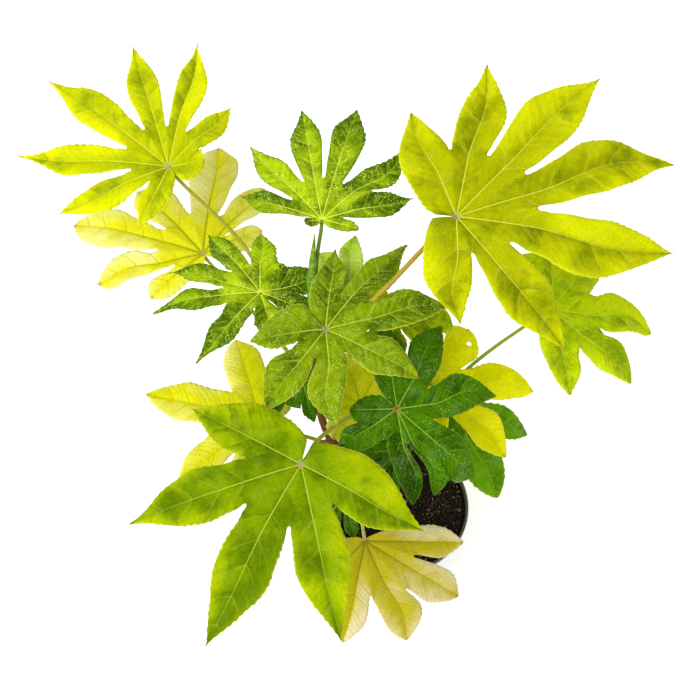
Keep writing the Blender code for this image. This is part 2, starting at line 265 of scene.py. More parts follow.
Lobe = namedtuple("Lobe", "angle length half notch tone lift bow", defaults=(0, 0, 0, 0, 0))
Leaf = namedtuple("Leaf", "hub turn pitch roll lobes slim ears blunt slot stem foot via")
LEAVES = {
    "upper_left": Leaf(
        (-206, 226, 350), 40, 12, -4,
        [
            (-118, 31, 0.45, 0.95), (-80, 80, 0, 0.34), (-49, 122, 0, 0.28), (-22, 125, 0, 0.28),
            (13, 140, 0, 0.28), (47, 128, 0, 0.27), (75, 103, 0, 0.27), (119, 60),
        ],
        0.122, (1.2, 1.3), 0.0, "leaf_lime", "stem_main", 246, [(-143, 177, 296)],
    ),
    "pale_left": Leaf(
        (-189, 205, 235), 35, -6, 0,
        [
            (-100, 60), (-70, 95), (-37, 136, 0.19), (5, 115), (35, 143, 0.18), (70, 103, 0.19),
            (100, 66),
        ],
        0.17, (1.15, 1.15), 0.8, "leaf_yellow", "stem_main", 218, [],
    ),
    "top": Leaf(
        (-75, 183, 335), 355, 10, -2,
        [
            (-102, 33, 0.2), (-70, 81, 0, 0.6, -0.8), (-43, 97, 0, 0.33, -0.6),
            (-10, 115, 0.18, 0.32), (15, 110, 0.165, 0, -0.2), (47, 96, 0, 0, -0.7), (75, 76),
            (105, 15, 0, 0, -1.5),
        ],
        0.14, (1, 1), 0.0, "leaf_green", "stem_main", 288, [(-80, 148, 317)],
    ),
    "big_right": Leaf(
        (36, 168, 365), 280, 6, 12,
        [
            (-100, 90, 0, 0.31, 0, 0, -5), (-63, 141, 0.16, 0.31, 0, 0, -2),
            (-21, 180, 0.17, 0, 0, 0, -1), (5, 195, 0.15, 0, 0, 0, 4), (34, 176, 0.16),
            (67, 141, 0, 0.46), (100, 101, 0.19),
        ],
        0.135, (1.75, 1.4), 0.0, "leaf_lime", "stem_main", 282, [(-30, 107, 338)],
    ),
    "far_right": Leaf(
        (127, 132, 265), 250, -6, -5,
        [
            (-60, 79, 0.18, 0.52), (-23, 95, 0.19, 0.48), (14, 99, 0.2, 0.42, 0, 0, 11),
            (70, 84, 0.2, 0.9, 0.7), (100, 66, 0.25, 0.9, 0.9), (128, 62, 0.2, 0, 0.9),
        ],
        0.19, (1.4, 1.2), 0.5, "leaf_lime", "stem_side", 182, [(62, 95, 232)],
    ),
    "mid_left": Leaf(
        (-128, 129, 305), 68, -4, 8,
        [
            (-184, 46, 0.34, 0.75, -4, 4), (-148, 54, 0.33, 0.5, -3.5, 8), (-65, 71, 0.17, 0, -0.8),
            (-33, 91, 0, 0, -0.3), (4, 86, 0, 0, -0.4), (28, 94, 0, 0, -0.4), (75, 84, 0, 0.3, -0.5),
            (130, 50, 0.26, 0, -0.8),
        ],
        0.13, (1, 1), 0.1, "leaf_green", "stem_main", 268, [],
    ),
    "crown": Leaf(
        (-71, 80, 335), 225, 6, 0,
        [
            (-129, 63), (-79, 82, 0.24), (-39, 85, 0.19, 0, 0, 0, -4), (15, 86, 0.2),
            (57, 107, 0.17, 0.33, 0, 0, 4), (99, 116, 0.13, 0.35), (130, 80, 0.15),
        ],
        0.165, (1.9, 1.4), 0.0, "leaf_green", "stem_main", 292, [],
    ),
    "under_crown_right": Leaf(
        (-19, 109, 295), 262, -8, 0,
        [
            (-110, 35), (-60, 36), (-15, 52, 0.3, 0.8, -0.5), (10, 60, 0.3, 0, -0.5),
            (70, 32, 0.24), (110, 30),
        ],
        0.16, (1.2, 1.2), 0.6, "leaf_green", "stem_main", 258, [],
    ),
    "young": Leaf(
        (-53, 126, 304), 335, 5, 0,
        [(-100, 35), (-45, 44), (18, 60, 0.19, 0.6, 0.4, 0, 9), (55, 49, 0.3), (100, 30)],
        0.17, (1.15, 1.15), 0.0, "leaf_speckled", "stem_main", 276, [],
    ),
    "dark_right": Leaf(
        (-12, 30, 285), 230, -16, 12,
        [
            (-136, 40, 0.26, 0.88), (-102, 60, 0.24, 0.34), (-38, 82, 0.2, 0.36, 0, 0, 4),
            (-23, 80, 0.17, 0.93, 0, 0, 8), (2, 88, 0.2), (50, 88, 0.19, 0, 0, 0, 8),
            (103, 82, 0.2, 0.6), (141, 72, 0.22),
        ],
        0.18, (1.15, 1.0), 0.1, "leaf_dark", "stem_side", 208, [],
    ),
    "low_right": Leaf(
        (39, 71, 195), 232, -18, 0,
        [(-70, 55), (-20, 100, 0.2), (22, 88, 0.165), (70, 55)],
        0.16, (1.2, 1.2), 0.7, "leaf_dark", "stem_side", 148, [],
    ),
    "yellow_right": Leaf(
        (22, 72, 235), 268, -12, 4,
        [(-80, 50), (-38, 92, 0.19), (5, 101, 0.17), (60, 70, 0.3), (98, 45)],
        0.15, (1.15, 1.15), 0.6, "leaf_yellow", "stem_side", 192, [],
    ),
    "yellow_inner": Leaf(
        (-41, 66, 203), 45, -6, 0,
        [
            (-115, 30, 0.3, 0.9), (-70, 54, 0.42, 0.95), (-30, 60, 0.38, 0.8), (15, 44, 0, 0.8),
            (58, 33, 0.3, 0.7), (98, 42, 0.3),
        ],
        0.17, (1.2, 1.2), 0.8, "leaf_yellow", "stem_side", 164, [],
    ),
    "yellow_left": Leaf(
        (-131, 44, 215), 72, -4, 8,
        [(-120, 35), (-55, 105), (0, 115), (55, 90), (95, 65)],
        0.17, (1.2, 1.2), 0.5, "leaf_yellow", "stem_main", 158, [(-86, 42, 176)],
    ),
    "big_front": Leaf(
        (-91, -20, 290), 151, -4, 3,
        [(-90, 107), (-44, 149), (0, 162), (42, 143), (90, 112)],
        0.15, (1.6, 1.6), 0.0, "leaf_lime", "stem_side", 203, [(-49, 38, 246), (-76, 8, 275)],
    ),
    "pale_front": Leaf(
        (-37, -48, 150), 205, -22, 7,
        [
            (-70, 62, 0.25, 0.45), (-35, 98, 0.17, 0.5), (0, 102, 0.2, 0.55),
            (35, 105, 0.19, 0.47), (65, 92, 0.17),
        ],
        0.16, (1.2, 1.0), 0.75, "leaf_yellow", "stem_main", 112, [(-40, -22, 143)],
    ),
    "soil_side": Leaf(
        (-57, 4, 108), 190, 4, 0,
        [(-75, 25), (-30, 35), (5, 40), (40, 35), (80, 25)],
        0.22, (1.1, 1.1), 0.2, "leaf_dark", "stem_main", 96, [],
    ),
    "shade_left": Leaf(
        (-94, 74, 246), 150, -10, 0,
        [
            (-105, 24, 0.3), (-65, 30, 0.3), (-22, 40, 0.36, 0.8), (14, 27, 0.5, 0.9),
            (46, 41, 0.19), (95, 26, 0.3),
        ],
        0.2, (1.1, 1.1), 0.3, "leaf_dark", "stem_main", 196, [],
    ),
    "shade_front": Leaf(
        (-8, 22, 200), 200, -14, 0,
        [(-105, 38, 0.3), (-62, 52, 0.28), (-30, 40, 0.3), (5, 24)],
        0.17, (1.1, 1.1), 0.3, "leaf_dark", "stem_side", 140, [],
    ),
}
LEAVES = {
    name: leaf._replace(lobes=[Lobe(*lobe) for lobe in leaf.lobes])
    for name, leaf in LEAVES.items()
}
print("leaves:", len(LEAVES), "lobes:", sum(len(leaf.lobes) for leaf in LEAVES.values()))


def leaf_place(leaf):
    """The matrix from a leaf's own frame to the plant's."""
    turn = Matrix.Rotation(math.radians(leaf.turn), 4, "Z")
    pitch = Matrix.Rotation(math.radians(leaf.pitch), 4, "X")
    roll = Matrix.Rotation(math.radians(leaf.roll), 4, "Y")
    return Matrix.Translation(leaf.hub) @ turn @ pitch @ roll


# %% [markdown]
# ## Where the lobes meet
# A lobe runs straight from the hub to its tip. Between two lobes the blade is one web out to a
# notch. The first and last lobes have a free side each, by the stalk, and share the open angle that
# is left there.

# %% Notches between lobes
NOTCH = 0.35  # where the notch between two lobes lies, as a share of their length
NOTCH_LIMIT = 0.6  # the farthest out that a usual notch may lie, as a share of the shorter lobe
EAR_HALF_ANGLE = 80
EAR_SPREAD = 0.995  # how much of the angle between the two outer lobes their ears may fill


def smooth(low, high, value):
    """0 below low, 1 above high, and a smooth step between."""
    share = min(max((value - low) / (high - low), 0), 1)
    return share * share * (3 - 2 * share)


def soft_min(first, second, width):
    """The smaller of two lengths, with the corner where they cross rounded over this width."""
    near = max(width - abs(first - second), 0)
    return min(first, second) - near * near / max(4 * width, 1e-9)


def longest_lobe(leaf):
    """Length of a leaf's longest lobe."""
    return max(lobe.length for lobe in leaf.lobes)


def ear(leaf, step):
    """How much wider an outer lobe is on its free side."""
    return leaf.ears[0 if step < 0 else 1]


def lobe_side(leaf, index, step):
    """Half-angle and notch radius of a lobe on one side; radius 0 where that side is free."""
    lobe = leaf.lobes[index]
    other = index + step
    if not 0 <= other < len(leaf.lobes):
        open_angle = 360 - (leaf.lobes[-1].angle - leaf.lobes[0].angle)
        half_angle = min(EAR_SPREAD * open_angle * ear(leaf, step) / sum(leaf.ears), EAR_HALF_ANGLE)
        return math.radians(half_angle), 0.0
    neighbour = leaf.lobes[other]
    share = leaf.lobes[min(index, other)].notch or NOTCH
    limit = max(share, NOTCH_LIMIT) * min(lobe.length, neighbour.length)
    notch = min(share * math.sqrt(lobe.length * neighbour.length), limit)
    return math.radians(abs(neighbour.angle - lobe.angle) / 2), notch


print("first notch of the crown:", round(lobe_side(LEAVES["crown"], 0, 1)[1], 1), "mm out")

# %% [markdown]
# ## The outline of a lobe
# Past its notches each lobe swells, is widest a little beyond its middle, and narrows to a drawn-out
# point. The notch has a narrow round foot. An outer lobe's free side swells at once from the hub.

# %% Lobe outline
NOTCH_HALF_WIDTH = 0.011  # half-width of a notch's foot, as a share of the lobe's length
NOTCH_OPENING = 0.06  # how fast the gap between two lobes widens, at least
WIDEST = 0.57  # where a lobe is widest, as a share of its length
WIDEST_BLUNT = 0.1  # how much farther out that is for a blunt lobe
SHORT_WIDER = 0.4  # short lobes are wider for their length than the leaf's longest
TIP_ROUND = (1.75, 0.75)  # a larger value keeps a lobe wide for longer; and what bluntness adds
TIP_DRAWN = (1.5, -0.4)  # over 1, the tip is drawn out to a point; and what bluntness adds
TIP_WIDTH = 0.15  # a lobe with a wider half than this, as a share of its length, ends more bluntly
SOFTEN = 0.07  # how softly a lobe's side leaves the gap's edge, as a share of its length
EAR_RISE = 0.55  # under 1, an outer lobe's free side swells at once from the hub


def lobe_half_width(leaf, index):
    """Half of a lobe's width where it is widest, as a share of its length."""
    lobe = leaf.lobes[index]
    return lobe.half or leaf.slim * (longest_lobe(leaf) / lobe.length) ** SHORT_WIDER


def tip_curve(leaf, share, half_width):
    """Width left at a share of the way from a lobe's widest place to its tip."""
    roundness = TIP_ROUND[0] + TIP_ROUND[1] * leaf.blunt
    drawn = (TIP_DRAWN[0] + TIP_DRAWN[1] * leaf.blunt) * TIP_WIDTH / half_width
    return (1 - min(max(share, 0), 1) ** roundness) ** drawn


def free_side(leaf, index, step, share):
    """Distances along and off the midrib of an outer lobe's free side, and the room left beside it."""
    length = leaf.lobes[index].length
    half_width = lobe_half_width(leaf, index)
    wider = ear(leaf, step)
    widest = WIDEST + WIDEST_BLUNT * leaf.blunt
    swell = math.sin(math.pi / 2 * min(share / widest, 1)) ** (EAR_RISE / wider**2)
    off = half_width * length * swell * (1 + (wider - 1) * smooth(1, 0.3, share))
    off *= tip_curve(leaf, (share - widest) / (1 - widest), half_width)
    limit = share * length * math.tan(lobe_side(leaf, index, step)[0])
    off = soft_min(off, limit, SOFTEN * length * smooth(0.05, 0.3, share))
    return share * length, off, limit - off


def notched_side(leaf, index, step, share):
    """The same three lengths for a side with a notch: first in the web, then past the notch."""
    length = leaf.lobes[index].length
    half_angle, notch = lobe_side(leaf, index, step)
    half_width = lobe_half_width(leaf, index)
    notch_along, notch_off = notch * math.cos(half_angle), notch * math.sin(half_angle)
    if share <= NOTCH:
        return notch_along * share / NOTCH, notch_off * share / NOTCH, 0.0
    free = (share - NOTCH) / (1 - NOTCH)
    along = notch_along + free * (length - notch_along)
    widest = WIDEST + WIDEST_BLUNT * leaf.blunt
    widest = max(0.05, (widest * length - notch_along) / (length - notch_along))
    swell = math.sin(math.pi / 2 * min(free / widest, 1))
    off = notch_off + (half_width * length - notch_off) * swell
    off *= tip_curve(leaf, (free - widest) / (1 - widest), half_width)
    foot = NOTCH_HALF_WIDTH * length
    past = min((along - notch_along) / (2 * foot), 1)
    slit = foot * math.sqrt(1 - (1 - past) ** 2) + NOTCH_OPENING * (along - notch_along)
    limit = along * math.tan(half_angle) - slit
    off = soft_min(off, limit, SOFTEN * length * smooth(0, 0.25, free))
    return along, off, limit - off


print("half of a crown lobe's width:", round(lobe_half_width(LEAVES["crown"], 0), 2), "of its length")

# %% [markdown]
# Small forward-pointing teeth line the free edge, which is what makes the outline look like a leaf
# and not like a paper cut-out. Each tooth rises slowly and drops behind its point, and seeded noise
# makes them uneven.

# %% Teeth of the margin
TOOTH_STEP = 5.4
TOOTH_HEIGHT = 0.8
TOOTH_PEAK = 0.66  # where a tooth is highest, as a share of its length
TOOTH_MEAN = 0.85  # usual height of a tooth, as a share of TOOTH_HEIGHT, and how far it may differ
TOOTH_SPREAD = 1.3
TOOTH_LEAST = 0.1
TOOTH_STRIDE = 0.71  # step through the noise from one tooth to the next


def tooth_count(length):
    """How many teeth line one side of a lobe."""
    return max(5, round(length / TOOTH_STEP))


def tooth(length, share, seed):
    """How far a tooth of the margin stands out here."""
    place = share * tooth_count(length)
    ramp = place % 1
    uneven = noise.noise(Vector((TOOTH_STRIDE * round(place - ramp), seed, 0.5)))
    height = TOOTH_HEIGHT * max(TOOTH_LEAST, TOOTH_MEAN + TOOTH_SPREAD * uneven)
    if ramp < TOOTH_PEAK:
        return height * (ramp / TOOTH_PEAK) ** 1.5
    return height * ((1 - ramp) / (1 - TOOTH_PEAK))


print("teeth on one side of a 100 mm lobe:", tooth_count(100))

# %% [markdown]
# ## The surface of a blade
# A blade isn't flat. It rises a little from its hub and droops to its tips; each lobe is folded
# along its midrib, its edges turn down again and ripple, and between the side veins the surface is
# puffed like a quilt. All this is height over the leaf's own flat frame, so one function gives it.
# Side veins leave the midrib at about fifty degrees and bend forwards. The function also returns
# what the materials need to know about the place: its tone, which holds painted fold shading, how
# far along and off the midrib it is, how near the margin, which side vein is near, and how far the
# hub is. The odd factors in the noise's seeds only keep one lobe's noise apart from the next one's.

# %% Blade surface
RISE = 0.10
DROOP = 0.24
FOLD = 0.34  # slope of a lobe's halves up from the midrib
CURL = 0.24  # and down again towards the margin
SWAY = 0.05
SWAY_STEP = 2.4
RIPPLE = 1.5
RIPPLE_LENGTH = 34
QUILT = 1.0  # height of the puffs between side veins, for a leaf of 100 mm
QUILT_EDGE = 3  # how far off the midrib the puffs are half as high
GROOVE = 0.45  # depth of the channel over a midrib
GROOVE_HALF_WIDTH = 1.1
HUB_DIP = 0.9
HUB_RADIUS = 5
VEIN_SPACING = 3  # distance between side veins, to which a share of the leaf's size is added
VEIN_SPACING_SHARE = 0.125
VEIN_LEAN = 0.75  # run forwards of a side vein over its run outwards
VEIN_BEND = 0.008
VEIN_WANDER = 0.25  # how far side veins stray from even spacing
VEIN_WANDER_SIZE = 26
TEETH_ROOM = 2  # teeth are lower where less than this is left between two lobes
TEETH_END = 0.97  # and past this share of a lobe
FOLD_SHADE = 3  # how far the two halves of a lobe may differ: painted fold shading, one half lighter, one darker
TONE_FADE = (0.08, 0.4)  # shares of a lobe between which its tone, painted fold shading included, comes in
RIM_FADE = 0.12  # how far past a notch the margin begins, as a share of the way to the tip
EAR_RIM_FADE = (0.02, 0.15)  # shares of an outer lobe between which its free margin begins
BOW = 9  # degrees that the middle of any lobe may bow sideways, before its tip comes back
MERGED = 0.68  # a side with its notch farther out is one with its neighbour, and doesn't bow

Spot = namedtuple("Spot", "point tone off rim phase reach share")


def side_veins(leaf, point, along, off):
    """Which side vein is here: a whole number on each vein, and shares of the way between them."""
    spacing = VEIN_SPACING + VEIN_SPACING_SHARE * longest_lobe(leaf)
    place = Vector((point.x / VEIN_WANDER_SIZE, point.y / VEIN_WANDER_SIZE, leaf.turn))
    return (along - VEIN_LEAN * off - VEIN_BEND * off**2) / spacing + VEIN_WANDER * noise.noise(place)


def lobe_direction(leaf, index, beyond, straighter):
    """Unit vectors along a lobe and to its left, at this share of the way from notch to tip."""
    lobe = leaf.lobes[index]
    wander = noise.noise(Vector((leaf.turn, index * 3.7, 0)))
    bend = (BOW * wander + lobe.bow) * math.sin(math.pi * beyond) ** 1.5 * straighter
    radians = math.radians(lobe.angle + bend)
    sine, cosine = math.sin(radians), math.cos(radians)
    return Vector((-sine, cosine, 0)), Vector((-cosine, -sine, 0))


def blade_spot(leaf, index, share, across):
    """A place on the blade: share along a lobe, and across it from -1 to 1."""
    lobe = leaf.lobes[index]
    length = lobe.length
    size = longest_lobe(leaf)
    step = 1 if across > 0 else -1
    notch = lobe_side(leaf, index, step)[1]
    along, off, room = (notched_side if notch else free_side)(leaf, index, step, share)
    along = share * length + abs(across) * (along - share * length)
    off = abs(across) * off
    beyond = max(0.0, share - NOTCH) / (1 - NOTCH)
    rim = abs(across) * (smooth(0, RIM_FADE, beyond) if notch else smooth(*EAR_RIM_FADE, share))
    toothed = smooth(0, TEETH_ROOM, room) * smooth(1, TEETH_END, share)
    off += tooth(length, share, leaf.turn + 9.7 * index + step) * toothed * rim**8
    straighter = 1 - abs(across) if notch > MERGED * length else 1
    middle, left = lobe_direction(leaf, index, beyond, straighter)
    point = middle * along + left * math.copysign(off, across)
    reach = point.length
    phase = side_veins(leaf, point, along, off)
    puff = math.sqrt(abs(math.sin(math.pi * phase))) * off / (off + QUILT_EDGE)
    ripple = math.sin(math.tau * along / RIPPLE_LENGTH + index + 2 * math.copysign(1, across))
    point.z = (
        RISE * reach - DROOP * reach**2 / size
        + FOLD * off - CURL * off * rim
        + SWAY * length * beyond**2 * math.sin(SWAY_STEP * index + leaf.turn)
        + RIPPLE * rim**3 * ripple
        + QUILT * math.sqrt(size / 100) * puff * (1 - 0.7 * rim**4)
        - GROOVE * math.exp(-((off / GROOVE_HALF_WIDTH) ** 2))
        - HUB_DIP * math.exp(-((reach / HUB_RADIUS) ** 2))
        + lobe.lift * beyond**1.5
    )
    # Painted fold shading: each half of a lobe is painted lighter or darker, as shade on a folded
    # blade.
    painted_fold_shade = FOLD_SHADE * noise.noise(Vector((leaf.turn, index * 5.3, 40 * step)))
    tone = (lobe.tone + painted_fold_shade) * smooth(*TONE_FADE, share)
    return Spot(point, tone, off, rim, phase, reach, share)


# %% [markdown]
# ## Tubes that follow a path
# Stalks, stems and the ribs under a blade are all tubes. A ring of vertices is extruded from point
# to point, turning as it goes. A smooth curve through a few points of the plan (a Catmull-Rom
# spline) gives the path. Each ring remembers how far along it lies, for the materials.

# %% Sweeping a ring
def smooth_path(points, step):
    """Points about step apart on a smooth curve through the given ones."""
    points = [Vector(point) for point in points]
    padded = [2 * points[0] - points[1], *points, 2 * points[-1] - points[-2]]
    path = [points[0]]
    for before, start, end, after in zip(padded, padded[1:], padded[2:], padded[3:]):
        count = max(2, round((end - start).length / step))
        for number in range(1, count + 1):
            t = number / count
            square = (2 * before - 5 * start + 4 * end - after) * t * t
            cube = (3 * start - before - 3 * end + after) * t**3
            path.append(0.5 * (2 * start + (end - before) * t + square + cube))
    return path


def only(kind, items):
    """The vertices, edges or faces among the items that an operator made."""
    return [item for item in items if isinstance(item, kind)]


def sweep(bm, path, radius_at, sides):
    """Extrude a ring along the path. radius_at takes the share of the path's length."""
    run = bm.verts.layers.float_vector.get("run") or bm.verts.layers.float_vector.new("run")
    lengths = [0.0]
    for start, end in zip(path, path[1:]):
        lengths.append(lengths[-1] + (end - start).length)
    direction = (path[1] - path[0]).normalized()
    turn = direction.to_track_quat("Z", "Y")
    placed, made, edges = None, [], []
    for number, point in enumerate(path):
        ahead = path[min(number + 1, len(path) - 1)] - path[max(number - 1, 0)]
        turn = direction.rotation_difference(ahead.normalized()) @ turn
        direction = ahead.normalized()
        share = lengths[number] / lengths[-1]
        place = Matrix.Translation(point) @ turn.to_matrix().to_4x4()
        place = place @ Matrix.Scale(radius_at(share), 4)
        if placed is None:
            ring = bmesh.ops.create_circle(bm, segments=sides, radius=1)["verts"]
            first = edges = list({edge for vert in ring for edge in vert.link_edges})
            bmesh.ops.transform(bm, matrix=place, verts=ring)
        else:
            grown = bmesh.ops.extrude_edge_only(bm, edges=edges)["geom"]
            ring = only(bmesh.types.BMVert, grown)
            edges = [edge for edge in only(bmesh.types.BMEdge, grown) if set(ring) >= set(edge.verts)]
            bmesh.ops.transform(bm, matrix=place @ placed.inverted(), verts=ring)
        for vert in ring:
            vert[run] = (share, lengths[number] * MM, 0)
        made += ring
        placed = place
    bmesh.ops.holes_fill(bm, edges=first + edges, sides=0)
    bmesh.ops.recalc_face_normals(bm, faces=list({face for vert in made for face in vert.link_faces}))
    return made


# %% [markdown]
# ## What a leaf is painted with
# A leaf's colour lies in layers, like a print: a middle tone, a lighter one that comes in from the
# margin and the tips, darker blotches, painted sheen in streaks of light and dark, fine dots, a net
# of tiny veins, the side veins, the main veins, a pale line round the margin, and the rosy hub where
# the stalk joins. This table holds the colours of every finish and the strength of its layers.
# - Specks, patches, veins and sheen streaks are the strengths of the dots, the blotches, the side
#   veins and the painted sheen's light and dark streaks.
# - Wide is how broad the veins are, shine how glossy the wax is, and toned how far a lobe's tone,
#   with its painted fold shading, brings the margin's colour in.

# %% Leaf finishes
Finish = namedtuple(
    "Finish",
    "blade margin patch vein line net speckle hub specks patches veins weave wide shine toned",
    defaults=[0.3],
)
ROSY = "#B39A84"
FINISHES = {
    "sunlit lime leaf": Finish(
        "#B8C202", "#E2E604", "#7E9006", "#E2E640", "#F0F24A", "#CCD62C", "#7E9000", ROSY,
        0.3, 0.85, 0.4, 0.12, 0.9, 0.03,
    ),
    "lime leaf": Finish(
        "#AAB001", "#D6DC04", "#6E7E00", "#E0E650", "#E0E634", "#BEC824", "#7A8A00", ROSY,
        0.4, 0.85, 0.38, 0.16, 1.0, 0.03,
    ),
    "deep lime leaf": Finish(
        "#7E9A01", "#BAC802", "#527000", "#C6D24C", "#C8D23E", "#92AC1C", "#4A6600", ROSY,
        0.45, 0.9, 0.38, 0.2, 1.0, 0.03,
    ),
    # A lime finish, painted lighter than these leaves' own colour, for far_right and under_crown_right,
    # which lie in the shade of higher leaves.
    "lime leaf with painted light": Finish(
        "#BCD602", "#D2E206", "#7C9A04", "#E0EA58", "#DEE84C", "#CCDE28", "#DCE648", "#C4CC4A",
        0.3, 1.0, 0.6, 0.3, 1.0, 0.05,
    ),
    "green leaf": Finish(
        "#7C9602", "#7C9606", "#345600", "#CCD850", "#CCD850", "#A4BC2C", "#CCDA60", ROSY,
        0.7, 0.9, 0.8, 0.42, 1.0, 0.07,
    ),
    "mottled leaf": Finish(
        "#A6C404", "#487402", "#1E4400", "#E4EE58", "#6E9010", "#B8D030", "#EAF468", "#D8E44C",
        0.85, 0.75, 0.8, 0.4, 0.95, 0.05, -0.3,
    ),
    # A green finish, painted lighter than the leaf's own colour, for low_right, which lies in the shade
    # of higher leaves.
    "green leaf with painted light": Finish(
        "#6CA802", "#6CA404", "#326800", "#BCD44C", "#A4CC44", "#8CBC28", "#B8DC58", "#A8C440",
        0.45, 0.95, 0.5, 0.3, 0.9, 0.22,
    ),
    # Dark green; its light dots are painted highlights, and it is painted lighter for dark_right, which
    # lies in the shade of higher leaves.
    "dark leaf": Finish(
        "#447600", "#407002", "#163E00", "#A8C444", "#84A82C", "#6C9C1C", "#A4C858", "#B8803C",
        0.55, 0.9, 0.6, 0.34, 0.9, 0.22,
    ),
    "yellow leaf": Finish(
        "#DEDA1C", "#EEE880", "#C2C806", "#AEB208", "#F0EA90", "#D4D224", "#A0A208", "#C8B060",
        0.3, 0.8, 0.55, 0.2, 1.3, 0.03,
    ),
    # The yellow leaf, painted lighter, for yellow_right, which lies in the shade of higher leaves.
    "yellow leaf with painted light": Finish(
        "#FEF602", "#FEF81C", "#D0D600", "#F4F050", "#F8F25C", "#E4E614", "#98A408", "#D8D250",
        0.35, 0.7, 0.4, 0.2, 1.0, 0.03,
    ),
    "pale leaf": Finish(
        "#E6E224", "#F2EE94", "#D6D206", "#ACAE0A", "#F2EEA4", "#D8D62C", "#9CA008", "#C0A878",
        0.3, 0.6, 0.5, 0.15, 2.4, 0.02,
    ),
    "cream leaf": Finish(
        "#D0C22C", "#EADCAA", "#BEB20C", "#94960E", "#EADFB8", "#BCB02E", "#8C8010", "#A89040",
        0.35, 0.7, 0.45, 0.15, 1.5, 0.02,
    ),
    "young leaf": Finish(
        "#A4C81C", "#C8DC58", "#5C8808", "#C9D87C", "#C8DA70", "#B0CC48", "#F6FAE0", "#C9D87C",
        1.0, 0.8, 0.4, 0.3, 1.0, 0.08,
    ),
}
DRY_TIP = "#8A7428"
FINISH_OF = {
    "upper_left": "sunlit lime leaf", "big_right": "lime leaf", "far_right": "lime leaf with painted light",
    "big_front": "deep lime leaf", "crown": "green leaf", "under_crown_right": "lime leaf with painted light",
    "top": "mottled leaf", "mid_left": "mottled leaf", "low_right": "green leaf with painted light",
    "dark_right": "dark leaf", "soil_side": "dark leaf", "shade_left": "dark leaf",
    "shade_front": "dark leaf",
    "pale_left": "pale leaf", "yellow_left": "yellow leaf", "yellow_right": "yellow leaf with painted light",
    "yellow_inner": "yellow leaf", "pale_front": "cream leaf", "young": "young leaf",
}
print("leaf finishes:", len(FINISHES))

# %% [markdown]
# ## Reading the blade
# Every vertex of a blade remembers what `blade_spot` says of it, in two attributes of three numbers
# each. The masks below are all worked out from those six and from where the place is.

# %% Places for the materials
Place = namedtuple("Place", "coords tone off rim phase reach share")


def read_place(tree):
    """What a blade's two attributes and its coordinates say of a place."""
    coords = add(tree, "TexCoord").outputs["Object"]
    return Place(coords, *read(tree, "lobe"), *read(tree, "veins"))


# %% [markdown]
# Clouds of the lighter tone drift in from the margin and the tip. The darker blotches stop at side
# veins, as they do on a real leaf: a noise is shifted by the number of the side vein, so that it
# breaks there. A noise that is stretched along the side veins paints a sheen: light streaks for
# highlights on the wax, and dark ones for the shade between them.

# %% Clouds, blotches and painted sheen
CLOUD_SIZE = 33
BLOTCH_SIZE = 29
BLOTCH_SHIFT = 0.012  # how far the blotches are shifted from one side vein to the next, in metres
SHEEN_ALONG = 4  # streaks from one side vein to the next
SHEEN_ACROSS = 170  # and in a metre off the midrib


def margin_mask(tree, place, finish):
    """Where the lighter tone of the margin lies."""
    cloud = {"Vector": place.coords, "Scale": cells(CLOUD_SIZE), "Detail": 3, "Roughness": 0.5}
    cloud = add(tree, "TexNoise", cloud)
    # A lobe's tone, painted fold shading included, brings the margin's colour further in or out.
    parts = (cloud, 1.5), (place.share, 0.55), (place.tone, finish.toned), (place.rim, 0.55)
    return add(tree, "MapRange", {0: weigh(tree, -0.75, *parts), 1: 0.35, 2: 1.1})


def blotch_mask(tree, place, finish):
    """Where the dark blotches lie: fewer in the lighter lobes and by the margin."""
    sector = add(tree, "Math", {0: place.phase}, operation="FLOOR")
    sector = add(tree, "Math", {0: sector, 1: BLOTCH_SHIFT}, operation="MULTIPLY")
    sector = add(tree, "CombineXYZ", {2: sector})
    sector = add(tree, "VectorMath", {0: place.coords, 1: sector}, operation="ADD")
    blotch = {"Vector": sector, "Scale": cells(BLOTCH_SIZE), "Detail": 4, "Roughness": 0.58}
    blotch = add(tree, "TexNoise", blotch)
    # A lobe's tone, painted fold shading included, sets how many blotches lie here.
    blotch = weigh(tree, blotch, (place.tone, -0.14))
    blotch = add(tree, "MapRange", {0: blotch, 1: 0.46, 2: 0.66, 4: finish.patches})
    inner = add(tree, "MapRange", {0: place.rim, 1: 0.6, 2: 1.0, 3: 1.0, 4: 0.3})
    return add(tree, "Math", {0: blotch, 1: inner}, operation="MULTIPLY")


def sheen_streak_masks(tree, place, finish):
    """Where the painted sheen lies: light streaks as highlights, dark ones as shade, along the veins.
    """
    along_vein = add(tree, "Math", {0: place.phase, 1: SHEEN_ALONG}, operation="MULTIPLY")
    outward = add(tree, "Math", {0: place.off, 1: SHEEN_ACROSS}, operation="MULTIPLY")
    weave = add(tree, "CombineXYZ", {0: along_vein, 1: outward, 2: place.tone})
    weave = add(tree, "TexNoise", {"Vector": weave, "Scale": 1, "Detail": 3, "Roughness": 0.65})
    light = add(tree, "MapRange", {0: weave, 1: 0.5, 2: 0.68, 4: finish.weave})
    return light, add(tree, "MapRange", {0: weave, 1: 0.48, 2: 0.34, 4: finish.weave})


# %% [markdown]
# Three finer patterns cover the blade: dots, a net of the smallest veins and a grain, which also
# give the surface its bumps. Where the blade is flecked, the dots show and the wax is thicker.

# %% Dots, net and grain
FLECK_SIZE = 12.5
DOT_SIZE = 1.8
NET_SIZE = 3.3
GRAIN_SIZE = 1.4  # coarser than the real grain, which is too fine to show


def flecked_mask(tree, place):
    """Which parts of the blade are flecked."""
    flecked = add(tree, "TexNoise", {"Vector": place.coords, "Scale": cells(FLECK_SIZE), "Detail": 3})
    return add(tree, "MapRange", {0: flecked, 1: 0.44, 2: 0.62})


